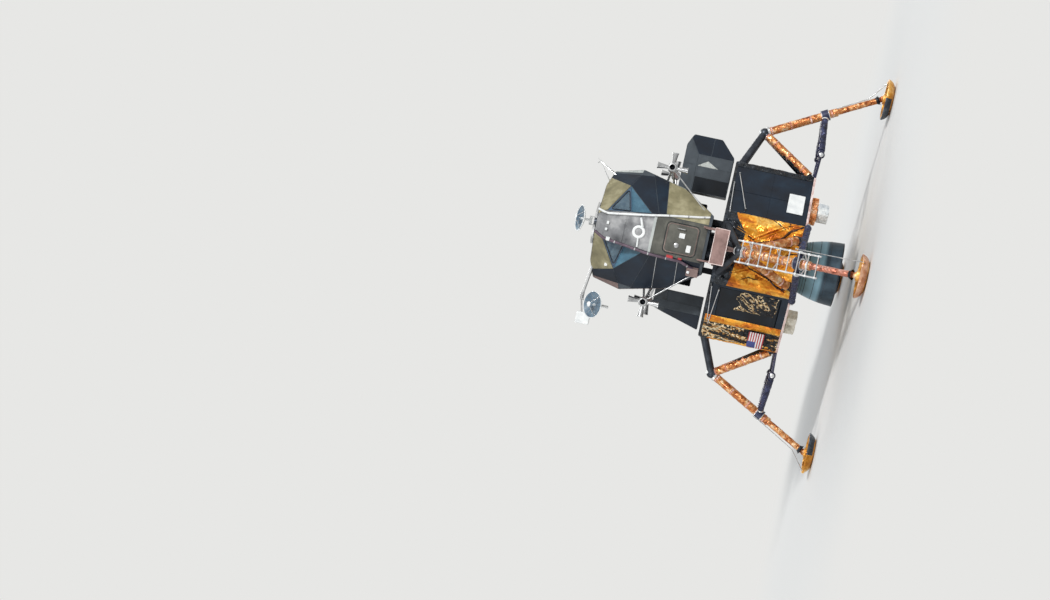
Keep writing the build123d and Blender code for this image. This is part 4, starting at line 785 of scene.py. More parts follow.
def crushed_sheet(form, path, low, high, deep, seed=0.0, folds=(), ragged=0.0, step=0.016, lift=0.004,
                  edge=0.05):
    """Lays crumpled film over upright faces along a path seen from above, its outside on the path's right.

    Folds are deep creases: two ends as (distance from the path's middle, height), then depth and width.
    The relief dies out over the edge's width, and the film's edges are folded back to the face."""
    corners = [Vector((x, y, 0)) for x, y in path]
    spans = [(a, b, (b - a).length) for a, b in zip(corners, corners[1:])]
    total = sum(length for _, _, length in spans)
    columns = round(total / step)
    lines = round((level(high, 0) - level(low, 0)) / step)
    rows = [[] for _ in range(lines + 1)]
    feet = [[] for _ in range(lines + 1)]
    for i in range(columns + 1):
        along = total * i / columns
        from_middle = along - total / 2
        rest = along
        for start, end, length in spans:
            if rest <= length + 1e-9:
                break
            rest -= length
        way = (end - start) / length
        normal = Vector((way.y, -way.x, 0))
        foot = start + way * rest
        top = level(high, from_middle) + ragged * noise.noise(foot * 3.1 + Vector((seed, 0, 0)))
        base = level(low, from_middle) + ragged * noise.noise(foot * 2.3 + Vector((0, seed, 0)))
        for j in range(lines + 1):
            z = base + (top - base) * j / lines
            place = foot + Vector((0, 0, z))
            fade = min(1.0, along / edge, (total - along) / edge, (z - base) / edge, (top - z) / edge)
            height = deep * (0.75 + 0.75 * crush(place, seed))
            height += sum(crease_relief(Vector((from_middle, z)), crease) for crease in folds)
            height = max(0.0, min(height, 1.8 * deep))
            rows[j].append(place + normal * (lift + height * max(0.10, fade)))
            feet[j].append(place)
    rows = [[back[0], *row, back[-1]] for row, back in zip(rows, feet)]
    for at, back in ((0, feet[0]), (len(rows) + 1, feet[-1])):
        rows.insert(at, [back[0], *back, back[-1]])
    form.rows(rows)
    bmesh.ops.remove_doubles(form.mesh, verts=form.mesh.verts, dist=1e-6)
    return form


def on_path(path, low, high, name, finish, **more):
    """One crumpled sheet as a piece, with the settings of the sheet or of the piece."""
    keep = {key: more.pop(key) for key in ("body", "replaces", "turn") if key in more}
    deep = more.pop("deep", sizes().foil_crush)
    return crushed_sheet(Form(), path, low, high, deep, **more).piece(name, finish, smooth=0, **keep)


# Finish of each narrow face, then how far its film turns the left and the right corner as seen from outside
NARROW_FACES = {"front": ("gold film", 0.15, 0.27), "right": ("black film", 0.15, 0.15),
                "aft": ("gold film", 0.15, 0.15), "left": ("gold film", 0.15, 0.15)}
BAND_LOW = 3.050
# The band is the film's own black; where its lower edge dips on the front, the black film paints the ascent
# stage's shadow on the gold
FRONT_BAND_LOW = ((-0.90, 2.86), (-0.638, 2.794), (-0.216, 2.745), (0.099, 2.712), (0.413, 2.68),
                  (0.673, 2.90), (0.95, 2.98))
FRONT_FOLDS = (
    ((0.20, 2.60), (0.98, 1.42), 0.020, 0.016), ((-0.36, 2.45), (-0.66, 1.46), 0.020, 0.015),
    ((0.90, 2.08), (0.66, 1.74), 0.014, 0.013), ((0.10, 2.90), (-0.05, 2.30), 0.013, 0.012),
    ((-0.60, 2.92), (-0.30, 2.20), 0.012, 0.012), ((0.52, 3.00), (0.30, 2.40), 0.010, 0.012),
    ((-0.30, 1.90), (0.35, 1.55), 0.012, 0.013), ((0.05, 2.20), (0.55, 2.02), 0.010, 0.011),
)


class LANDER_OT_side_blankets(bpy.types.Operator):
    """Covers the four narrow faces of the descent stage with crumpled film"""

    bl_idname = "lander.side_blankets"
    bl_label = "Side blankets"

    def execute(self, context):
        turn_in = sqrt(0.5)
        for number, (leg, (finish, left, right)) in enumerate(NARROW_FACES.items()):
            path = ((STAGE_REACH - left * turn_in, -STAGE_HALF - left * turn_in), (STAGE_REACH, -STAGE_HALF),
                    (STAGE_REACH, STAGE_HALF), (STAGE_REACH - right * turn_in, STAGE_HALF + right * turn_in))
            shared = {"turn": LEGS[leg], "replaces": ("gold_blankets",), "seed": number * 2.3}
            on_path(path, STAGE_BOTTOM + 0.004, BAND_LOW, f"side_blanket_{leg}", finish,
                    folds=FRONT_FOLDS if leg == "front" else (), **shared)
            low = FRONT_BAND_LOW if leg == "front" else BAND_LOW - 0.006
            on_path(path, low, BLANKET_TOP - 0.004, f"side_band_{leg}", "black film", lift=0.009, edge=0.010,
                    **shared)
        return {"FINISHED"}


WRAP_SIDES = 26


def wrapped_bar(form, start, end, radius, deep, seed):
    """Crumpled film round a bar, closed at both ends."""
    axis = (end - start).normalized()
    across = axis.orthogonal().normalized()
    around = spokes(WRAP_SIDES, across, axis.cross(across))
    lines = max(4, round((end - start).length / 0.020))
    rows = []
    for j in range(lines + 1):
        middle = start.lerp(end, j / lines)
        heights = [deep * (0.5 + 0.5 * crush(middle + way * radius, seed, 0.16, 0.06)) for way in around]
        rows.append([middle + way * (radius + height) for way, height in zip(around, heights)])
    return form.rows(rows, closed=True, caps=True)


# Where tape goes round the primary strut, in metres from the knee, and round a brace, as parts of its length
STRUT_TAPE = (0.16, 0.62, 1.10, 1.36, 1.60)
BRACE_TAPE = (0.12, 0.42, 0.72, 0.90)
UPPER_END = 1.755    # metres from the knee where the upper tube ends


class LANDER_OT_strut_wraps(bpy.types.Operator):
    """Wraps the primary struts and the lower outriggers in amber film, with tape round it"""

    bl_idname = "lander.strut_wraps"
    bl_label = "Strut wraps"

    def execute(self, context):
        deep = sizes().wrap_crush
        for number, leg in enumerate(LEGS):
            turn = LEGS[leg]
            upper = wrapped_bar(Form(), KNEE + DOWN * 0.10, KNEE + DOWN * (UPPER_END + 0.003), UPPER_TUBE,
                                deep, number * 3.1)
            tape = Form()
            for down in STRUT_TAPE:
                tape.turned(hoop(0.098, 0.102, 0, 0.040, 0.006), KNEE + DOWN * down, DOWN, WRAP_SIDES)
            for side in SIDES:
                foot = mirrored(BRACE_FOOT, side)
                wrapped_bar(upper, foot, KNEE.lerp(foot, 0.09), UPPER_TUBE, deep, number * 3.1 + side)
                for part in BRACE_TAPE:
                    tape.turned(hoop(0.098, 0.102, 0, 0.036, 0.006), foot.lerp(KNEE, part), KNEE - foot,
                                WRAP_SIDES)
            upper.piece(f"strut_wrap_{leg}", "strut film", smooth=0, turn=turn)
            lower = wrapped_bar(Form(), KNEE + DOWN * UPPER_END, KNEE + DOWN * (STRUT - 0.09), LOWER_TUBE,
                                deep, number + 7)
            lower.piece(f"lower_strut_wrap_{leg}", "rose film" if leg == "front" else "strut film", smooth=0,
                        turn=turn)
            tape.piece(f"strut_tape_{leg}", "rose film", turn=turn)
        return {"FINISHED"}


# The footpad's outside from the sole up and over its rim, as radius and height
PAD_OUTSIDE = ((0.262, 0.004), (0.330, 0.020), (0.398, 0.056), (0.448, 0.112), (0.4745, 0.166),
               (0.4745, 0.186), (0.464, 0.191), (0.440, 0.188))
PAD_TAUT = 0.18    # height above which the film is taut round the rim


class LANDER_OT_pad_wraps(bpy.types.Operator):
    """Covers each footpad's outside with film, gold on the outer half and black on the inner half"""

    bl_idname = "lander.pad_wraps"
    bl_label = "Footpad wraps"

    def execute(self, context):
        for number, leg in enumerate(LEGS):
            outer, inner = ("pad rose", "pad rose") if leg == "front" else ("pad film", "pad black")
            for half, finish, first in (("outer", outer, -90), ("inner", inner, 90)):
                angles = [radians(first + 3 * k) for k in range(61)]
                ways = [Vector((cos(angle), sin(angle), 0)) for angle in angles]
                rows = []
                for radius, z in PAD_OUTSIDE:
                    row = []
                    for way in ways:
                        puff = 0.004 * (1 + crush(way * radius + Vector((number * 3, 0, z)), 1.0, 0.3, 0.1))
                        out = radius + (puff if z < PAD_TAUT else 0.001)
                        row.append(Vector((PAD_REACH, 0, z)) + way * out)
                    rows.append(row)
                Form().rows(rows).piece(f"pad_wrap_{leg}_{half}", finish, smooth=50, turn=LEGS[leg])
        return {"FINISHED"}


# Skins of the ascent stage

ROOF_WAY = (0.65, -0.58, 0.50)
SIDE_WAY = (0.59, -0.79, 0.17)
LOW_WAY = (0.64, -0.77, 0.0)
HAND_WAYS = (ROOF_WAY, SIDE_WAY, LOW_WAY)    # faces whose panels the cabin face lays from listed corners
# Faces of the window recesses, and the finish of their skins. The sills' teal and blue-grey are painted
# reflection on dark sills.
RECESS_WAYS = (((0.36, -0.88, -0.32), "slate sill"), ((0.09, -0.79, 0.60), "teal sill"),
               ((0.99, 0.06, 0.13), "navy paint"))
SKINNED = ("cabin_front", "cabin_shell", "midsection", "aft_bay", "tank_bulge_right", "tank_bulge_left")
SMALLEST_SKIN = 0.03    # square metres


def faces_way(normal, way):
    """True for a face that looks along a way or along its mirror at the craft's other side."""
    way = Vector(way).normalized()
    return abs(normal.x) * way.x + normal.y * way.y + normal.z * way.z > 0.995


def skin_of(node, normal, middle):
    """The finish of the panel over one flat face of a CAD node."""
    side_strip = "pale paint" if middle.x > 0 else "rose sheet"
    if node == "cabin_front":
        for way, finish in RECESS_WAYS:
            if faces_way(normal, way):
                return finish
        if normal.y < -0.97:
            return "silver sheet" if middle.z > 4.70 else "grey sheet"
        if normal.z > 0.9:
            return "grey sheet"
        if abs(normal.x) > 0.94:
            return side_strip
    if node == "cabin_shell":
        if normal.z > 0.9:
            return "khaki sheet" if abs(normal.x) > 0.2 else "grey sheet"
        if abs(normal.x) > 0.94:
            return side_strip
    if "tank_bulge" in node:
        return "navy paint" if normal.z <= 0.7 and normal.y < -0.3 else "slate paint"
    if node == "midsection" and normal.z > 0.4:
        return "slate paint"
    return "black paint"


def outer_face(node, normal, middle):
    """True for a face on the outside of the craft, away from joints between nodes and from inner rooms."""
    if node == "cabin_front":
        return normal.z > -0.9 and not (middle.y > -1.26 and abs(normal.y) > 0.9)
    if node == "cabin_shell":
        return abs(normal.y) < 0.9 and normal.z > -0.9
    if node == "midsection":
        return normal.y > -0.9 and normal.z > -0.9
    if node == "aft_bay":
        return normal.y > -0.9
    outward = normal.x if node == "tank_bulge_right" else -normal.x
    return outward > -0.9 and abs(normal.y) < 0.99


class LANDER_OT_skins(bpy.types.Operator):
    """Lays riveted panels over the ascent stage's flat faces, the dark panels and the top deck"""

    bl_idname = "lander.skins"
    bl_label = "Skins"

    def execute(self, context):
        gap = sizes().panel_gap * 0.6
        pitch = sizes().rivet_pitch
        studs = Form()
        forms = {}
        for node in SKINNED:
            low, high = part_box(node)
            core = (Vector(low) + Vector(high)) / 2
            for normal, triangles in flat_regions(node):
                points = [p for corners in triangles for p in corners]
                middle = sum(points, Vector()) / len(points)
                recess = node == "cabin_front" and any(faces_way(normal, way) for way, _ in RECESS_WAYS)
                by_hand = "cabin" in node and any(faces_way(normal, way) for way in HAND_WAYS)
                outside = normal.dot(middle - core) > 0.05 and outer_face(node, normal, middle)
                small = twice_area((normal, triangles)) < 2 * SMALLEST_SKIN
                if small or by_hand or not (recess or outside):
                    continue
                form = forms.setdefault((node, skin_of(node, normal, middle)), Form())
                panels(form, studs, normal, triangles, gap, pitch)
        for node, finish in (("dark_panels", "navy paint"), ("top_deck_blanket", "black paint")):
            form = forms.setdefault((node, finish), Form())
            for normal, triangles in flat_regions(node):
                wanted = normal.z > 0.9
                if node == "dark_panels":
                    bay_side = normal.x < -0.5 and normal.y < -0.5
                    outermost = triangles[0][0].dot(normal) > DIAGONAL - 0.03 and abs(normal.z) < 0.1
                    wanted = outermost and not bay_side
                if wanted:
                    panels(form, studs, normal, triangles, gap, pitch, 1.0)
        for (node, finish), form in forms.items():
            form.piece(f"skin_{node}_{finish.replace(' ', '_')}", finish, smooth=0, bevel=0.0015)
        studs.piece("skin_rivets", "dark metal", smooth=60)
        return {"FINISHED"}


def facet(nodes, way):
    """A point and the normal of the first node's largest face towards a way, and all such faces' corners."""
    way = Vector(way).normalized()
    found = [[region for region in flat_regions(node) if region[0].dot(way) > 0.995] for node in nodes]
    normal, triangles = max(found[0], key=twice_area)
    own = [p for regions in found for _, faces in regions for corners in faces for p in corners]
    return triangles[0][0], normal, own


def laid(corners, face, side=1):
    """Corners given as x and z, laid on a face; one close to a corner of the face takes its place."""
    point, normal, own = face
    points = []
    for x, z in corners:
        x *= side
        near = min(own, key=lambda v: (v.x - x) ** 2 + (v.z - z) ** 2)
        if (near.x - x) ** 2 + (near.z - z) ** 2 < 0.02 ** 2:
            points.append(near.copy())
        else:
            y = point.y - (normal.x * (x - point.x) + normal.z * (z - point.z)) / normal.y
            points.append(Vector((x, y, z)))
    return points


def outline(node, way):
    """The corners in order round the node's largest flat face that faces a way, and its normal."""
    way = Vector(way).normalized()
    facing = [region for region in flat_regions(node) if region[0].dot(way) > 0.98]
    normal, triangles = max(facing, key=twice_area)
    edges = set()
    for corners in triangles:
        names = [tuple(round(c, 5) for c in corner) for corner in corners]
        for near, far in zip(names, names[1:] + names[:1]):
            if (far, near) in edges:
                edges.remove((far, near))
            else:
                edges.add((near, far))
    follow = dict(edges)
    loop = [min(follow)]
    while follow[loop[-1]] != loop[0]:
        loop.append(follow[loop[-1]])
    return [Vector(p) for p in loop], normal


def rim(form, node, way, radius, inset=0.0, lift=0.0):
    """A round bead along the edge of a node's face."""
    loop, normal = outline(node, way)
    middle = sum(loop, Vector()) / len(loop)
    points = [p + (middle - p).normalized() * inset + normal * lift for p in loop]
    return form.pipe(points + points[:2], radius, 8)


# Cabin face

# Panels of the cabin's front: finish on the right, on the left, which way the face looks, corners as x and z
CABIN_PANELS = (
    ("khaki sheet", "khaki sheet", ROOF_WAY,
     ((0.19, 6.03), (0.69, 6.03), (0.88, 6.03), (1.08, 5.965), (0.97, 5.45), (0.32, 5.83))),
    ("navy paint", "navy paint", ROOF_WAY, ((1.08, 5.965), (1.21, 5.925), (1.27, 5.28), (0.97, 5.45))),
    ("pale paint", None, ROOF_WAY, ((1.235, 5.92), (1.26, 5.91), (1.40, 5.24), (1.32, 5.26))),
    (None, "rose sheet", ROOF_WAY, ((1.215, 5.925), (1.26, 5.91), (1.40, 5.24), (1.27, 5.28))),
    ("navy paint", "navy paint", SIDE_WAY,
     ((0.97, 5.45), (1.27, 5.28), (1.30, 4.975), (0.44, 4.66), (0.44, 4.83))),
    ("navy paint", None, LOW_WAY, ((0.44, 4.66), (1.34, 4.99), (1.25, 4.62), (0.44, 4.50))),
    ("khaki sheet", None, LOW_WAY, ((0.44, 4.50), (1.25, 4.62), (1.15, 4.21), (0.72, 3.52), (0.44, 3.52))),
    (None, "navy paint", LOW_WAY, ((0.44, 4.66), (1.34, 4.99), (1.22, 4.50), (0.44, 4.52))),
    (None, "navy paint", LOW_WAY, ((0.44, 4.52), (1.22, 4.50), (1.15, 4.21), (1.03, 4.02), (0.44, 4.04))),
    (None, "navy paint", LOW_WAY, ((0.44, 4.04), (1.03, 4.02), (0.72, 3.52), (0.44, 3.52))),
)
BULGE_FRONT = -0.5397
# Panels of the two bulges' fronts: finish and corners as x and z
BULGE_PANELS = (
    ("black paint", ((1.19, 3.31), (1.54, 3.31), (1.54, 4.11), (1.19, 4.11))),
    ("slate paint", ((1.54, 3.31), (1.78, 3.31), (1.78, 4.11), (1.54, 4.11))),
    # Pale triangle: painted highlight of a sunlit facet, laid flat on the bulge's front
    ("pale paint", ((1.79, 3.60), (1.94, 3.87), (1.79, 4.11))),
    ("slate paint", ((1.78, 3.31), (2.055, 3.31), (2.055, 4.11), (1.80, 4.11), (1.95, 3.87), (1.79, 3.58))),
    ("slate paint", ((-1.61, 3.31), (-1.42, 3.31), (-1.42, 4.42), (-1.61, 4.42))),
)
# Thin light seams on the left low face: height at the inner end, then x and height at the outer end
LEFT_SEAMS = ((4.520, 1.20, 4.500), (4.040, 1.02, 4.020))
UPPER_FRONT = Vector((0, -0.990, 0.139))
RIGHT_EDGE_TUBE = ((0.300, -1.842, 6.040), (0.259, -1.862, 5.916), (0.241, -1.880, 5.789),
                   (0.308, -1.942, 5.349), (0.395, -2.016, 4.819), (0.435, -2.032, 4.620),
                   (0.500, -1.992, 4.243), (0.575, -1.928, 3.774), (0.622, -1.890, 3.535))
LEFT_EDGE_TUBE = ((-0.215, -1.845, 6.020), (-0.335, -1.880, 5.800), (-0.400, -1.950, 5.250),
                  (-0.460, -2.005, 4.830), (-0.475, -2.032, 4.620), (-0.490, -2.020, 4.000),
                  (-0.610, -1.915, 3.620), (-0.720, -1.815, 3.525))
# Small white lamps and covers: centre, size
CABIN_LAMPS = (
    ((0.780, -1.445, 5.615), (0.070, 0.050, 0.070)), ((-0.330, -1.900, 5.690), (0.090, 0.060, 0.090)),
    ((-0.910, -1.360, 5.640), (0.070, 0.050, 0.070)), ((-0.690, -1.915, 3.760), (0.060, 0.050, 0.060)),
    ((0.030, -1.880, 5.763), (0.075, 0.050, 0.055)), ((-0.122, -1.880, 5.776), (0.060, 0.050, 0.055)),
)
BRIGHT_BAND = ((-0.43, -2.004, 4.690), (0.40, -2.004, 4.690), (0.385, -1.998, 4.750), (-0.425, -1.998, 4.750))
RING_PLACE = Vector((-0.033, -1.953, 5.034))
RING_PROFILE = ((0.086, 0.0), (0.086, 0.024), (0.100, 0.034), (0.132, 0.034), (0.148, 0.024), (0.150, 0.0))
# Raised bars beside the front ring: both ends as x and height, and radius
RING_BARS = (((0.09, 4.97), (0.295, 5.045), 0.030), ((-0.17, 5.02), (-0.375, 5.0), 0.022))


class LANDER_OT_cabin_face(bpy.types.Operator):
    """Puts the panels, edge tubes, ring, lamps, window frames and hatch details on the cabin's front"""

    bl_idname = "lander.cabin_face"
    bl_label = "Cabin face"

    def execute(self, context):
        self.face_panels(sizes().panel_gap * 0.6, sizes().rivet_pitch)
        self.edge_tubes()
        for high, outer, low in LEFT_SEAMS:
            face = facet(("cabin_front",), (-LOW_WAY[0], *LOW_WAY[1:]))
            ends = laid(((0.50, high), (outer, low)), face, -1)
            seam = Form().pipe([p + face[1] * 0.010 for p in ends], 0.009, 8)
            seam.piece(f"left_seam_{round(low * 100)}", "satin metal", smooth=60)
        self.ring()
        tilt = Matrix.Rotation(-radians(39.7), 3, "Z")
        Form().box((-0.655, -1.862, 3.670), (0.230, 0.110, 0.270), tilt).piece(
            "side_lamp_box", "rose sheet", smooth=0, bevel=0.012)
        lamps = Form()
        for centre, size in CABIN_LAMPS:
            lamps.box(centre, size)
        lamps.piece("cabin_lamps", "white paint", smooth=0, bevel=0.010)
        frames = Form()
        for side in SIDES:
            rim(frames, "window_panes", (0.36 * side, -0.88, -0.32), 0.013, -0.006, 0.004)
        rim(frames, "window_panes", (0, 0, 1), 0.010, -0.004, 0.004)
        frames.piece("window_frames", "dark metal", smooth=60)
        self.hatch()
        return {"FINISHED"}

    def face_panels(self, gap, pitch):
        """Panels of the cabin's front and of the bulges' fronts."""
        studs = Form()
        forms = {}
        for right, left, way, corners in CABIN_PANELS:
            for side, finish in ((1, right), (-1, left)):
                if finish:
                    face = facet(("cabin_front", "cabin_shell"), (way[0] * side, way[1], way[2]))
                    form = forms.setdefault(finish, Form())
                    skin(form, studs, face[1], [laid(corners, face, side)], gap, pitch)
        for finish, corners in BULGE_PANELS:
            form = forms.setdefault(finish, Form())
            flat = [Vector((x, BULGE_FRONT, z)) for x, z in corners]
            skin(form, studs, Vector((0, -1, 0)), [flat], gap * 0.5, pitch)
        for finish, form in forms.items():
            form.piece(f"cabin_panels_{finish.replace(' ', '_')}", finish, smooth=0, bevel=0.0015)
        studs.piece("cabin_panel_rivets", "dark metal", smooth=60)

    def edge_tubes(self):
        """White and plum tubes down the two edges of the front, with their clips."""
        Form().pipe(RIGHT_EDGE_TUBE, 0.026).piece("right_edge_tube", "white paint", smooth=60)
        Form().pipe(LEFT_EDGE_TUBE, 0.032).piece("left_edge_tube", "plum paint", smooth=60)
        clips = Form()
        for path, radius in ((RIGHT_EDGE_TUBE, 0.032), (LEFT_EDGE_TUBE, 0.038)):
            for near, far in zip(path[1:], path[2:]):
                near, far = Vector(near), Vector(far)
                clips.turned(((radius, -0.012), (radius, 0.012)), near.lerp(far, 0.5), far - near, 16, True)
        clips.piece("edge_tube_clips", "satin metal", smooth=60)

    def ring(self):
        """Bright band above the hatch, and the raised white ring with its bars."""
        Form().slab(BRIGHT_BAND, 0.008).piece("bright_band", "pale paint", smooth=0, bevel=0.002)
        ring = Form().turned(RING_PROFILE, RING_PLACE, UPPER_FRONT, 48)
        for start, end, radius in RING_BARS:
            points = [Vector((x, -1.962 + (z - 5.0) * 0.1404, z)) for x, z in (start, end)]
            ring.pipe([p + UPPER_FRONT * 0.012 for p in points], radius)
        ring.piece("front_ring", "white paint", smooth=40)
        centre = Form().turned(((0.0, 0.010), (0.060, 0.010), (0.086, 0.006)), RING_PLACE, UPPER_FRONT)
        centre.piece("front_ring_centre", "silver sheet", smooth=40)

    def hatch(self):
        """Seal, cover plates, handle and vent valve on the forward hatch, and the hoods beside it."""
        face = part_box("forward_hatch")[0][1] - 0.001
        seal = rim(Form(), "forward_hatch", (0, -1, 0), 0.008, 0.030, 0.003)
        seal.piece("hatch_seal", "rose sheet", "forward_hatch", smooth=60)
        covers = Form().box((0.085, face - 0.010, 4.056), (0.115, 0.020, 0.130))
        covers.box((-0.18, face - 0.006, 3.86), (0.16, 0.012, 0.10))
        covers.piece("hatch_covers", "white paint", "forward_hatch", smooth=0, bevel=0.006)
        grip_path = ((face, 4.20), (face - 0.055, 4.185), (face - 0.055, 4.015), (face, 4.0))
        grip = Form().pipe([(0.235, y, z) for y, z in grip_path], 0.010, 10)
        valve = ((0.055, 0), (0.055, 0.016), (0.030, 0.026), (0.0, 0.026))
        grip.turned(valve, (-0.15, face, 4.14), (0, -1, 0), 24)
        grip.piece("hatch_grip_and_valve", "satin metal", "forward_hatch", smooth=40)
        hood = Form().box((-0.435, -2.022, 4.235), (0.075, 0.044, 0.150))
        hood.box((-0.435, -2.018, 4.00), (0.045, 0.036, 0.090))
        hood.piece("hatch_side_hoods", "red enamel", smooth=0, bevel=0.008)


# Fittings of the descent stage


def on_diagonal(side, along, z, out=0.0):
    """A point on a side's front diagonal face, by its distance from the middle towards the front."""
    reach = DIAGONAL + out
    return Vector((side * sqrt(0.5) * (reach - along), -sqrt(0.5) * (reach + along), z))


def diagonal_plate(side, start, end, low, high, out):
    """The corners of an upright rectangle on a front diagonal."""
    corners = ((start, low), (end, low), (end, high), (start, high))
    return [on_diagonal(side, along, z, out) for along, z in corners]


def diagonal_path(side, start, end):
    """The path of a sheet along a front diagonal, from start to end, with its outside on the right."""
    ends = sorted((start, end), reverse=side > 0)
    return [on_diagonal(side, along, 0)[:2] for along in ends]


BOX_CUTS = 17
BOX_CRUSH = 0.012


def crumpled_box(form, centre, size, turn, seed):
    """A box under crumpled film."""
    part = bmesh.new()
    bmesh.ops.create_cube(part, size=1.0)
    bmesh.ops.subdivide_edges(part, edges=part.edges, cuts=BOX_CUTS, use_grid_fill=True)
    for vert in part.verts:
        rounded = Vector(max(-0.5, min(0.5, c)) for c in vert.co)
        way = Vector(c ** 5 for c in rounded).normalized()
        at = Vector(c * length for c, length in zip(rounded, size))
        edge = sum(1 for c in rounded if abs(c) > 0.44)
        at += way * BOX_CRUSH * (crush(at, seed, 0.18, 0.07) - 0.6 - 0.5 * max(0, edge - 1))
        vert.co = turn @ at + Vector(centre)
    return form.take(part)


def on_front(along, z, out):
    """A point on the front's foil, which turns the corner on both sides, by its distance from the middle."""
    past = max(0.0, abs(along) - STAGE_HALF) * sqrt(0.5)
    side = 1 if along > 0 else -1
    lean = sqrt(0.5) if past else 0.0
    flat = min(abs(along), STAGE_HALF)
    return Vector((side * (flat + past + out * lean), -STAGE_REACH + past - out * (lean or 1.0), z))


FOLD_STEP = 0.03
FOLD_PARTS = (-1.0, -0.55, 0.0, 0.5, 1.0)    # places across a fold's ribbon, in half widths


def fold(form, points, width, seed):
    """Painted shadow of a crease in the front's foil: a dark crumpled ribbon along points given by distance
    and height.
    """
    path = [Vector((x, 0, z)) for x, z in points]
    rows = []
    for near, far in zip(path, path[1:]):
        way = (far - near).normalized()
        across = Vector((-way.z, 0, way.x))
        steps = max(2, round((far - near).length / FOLD_STEP))
        for k in range(steps + (far is path[-1])):
            at = near.lerp(far, k / steps)
            half = width * (0.55 + 0.9 * abs(noise.noise(at * 9 + Vector((seed, 0, 0)))))
            wave = across * 0.030 * noise.noise(at * 5 + Vector((0, 0, seed)))
            row = []
            for part in FOLD_PARTS:
                rise = 0.030 - 0.014 * abs(part) + 0.006 * noise.noise(at * 21 + across * part)
                place = at + wave + across * half * part
                row.append(on_front(place.x, place.z, rise))
            rows.append(row)
    return form.rows(rows)


# Painted shadows in the front's creases, as dark ribbons: points as distance from the middle and height, then
# the ribbon's width
FRONT_CREASE_SHADOWS = (
    (((0.19, 2.52), (0.31, 2.31), (0.457, 1.915), (0.747, 1.614), (0.920, 1.440)), 0.036),
    (((-0.24, 2.62), (-0.305, 2.40), (-0.397, 2.07), (-0.577, 1.77), (-0.675, 1.56)), 0.030),
    (((0.925, 2.13), (0.80, 1.95), (0.725, 1.812)), 0.026),
    (((0.725, 1.80), (0.84, 1.74), (0.925, 1.735)), 0.020),
    (((0.10, 2.66), (0.02, 2.50), (-0.02, 2.36)), 0.018),
    (((-0.62, 2.62), (-0.50, 2.40), (-0.52, 2.20)), 0.016),
    (((0.40, 2.62), (0.36, 2.50), (0.27, 2.42)), 0.020),
    (((0.05, 1.80), (0.18, 1.62), (0.22, 1.46)), 0.014),
)
OCTAGON = ((STAGE_REACH, -STAGE_HALF), (STAGE_REACH, STAGE_HALF), (STAGE_HALF, STAGE_REACH),
           (-STAGE_HALF, STAGE_REACH), (-STAGE_REACH, STAGE_HALF), (-STAGE_REACH, -STAGE_HALF),
           (-STAGE_HALF, -STAGE_REACH), (STAGE_HALF, -STAGE_REACH), (STAGE_REACH, -STAGE_HALF))
STRIPES = 13
# The flag's start along the left diagonal and its foot, its width and height, how wide its field is, its lift
FLAG_START, FLAG_FOOT = -0.930, 1.740
FLAG_WIDE, FLAG_HIGH = 0.500, 0.364
FLAG_FIELD = 0.40
FLAG_LIFT = 0.052
# Boxes under the stage: side, place along towards the front, half length, half depth, top and bottom, finish
UNDER_BOXES = (
    (1, -0.100, 0.330, 0.150, 1.360, 1.190, "peach film"),
    (1, -0.100, 0.190, 0.140, 1.190, 0.930, "white film"),
    (-1, -0.146, 0.260, 0.150, 1.360, 1.110, "cream film"),
)
UNDER_INSET = 0.2417
# Stays on the front diagonals: side, then both ends as distance towards the front and height
STAYS = ((1, (-0.534, 3.097), (0.605, 2.801)), (1, (-0.185, 3.172), (0.795, 3.131)),
         (-1, (-0.420, 3.075), (0.700, 2.990)), (-1, (-0.300, 3.110), (0.760, 3.165)))
STAY_LIFT = 0.055


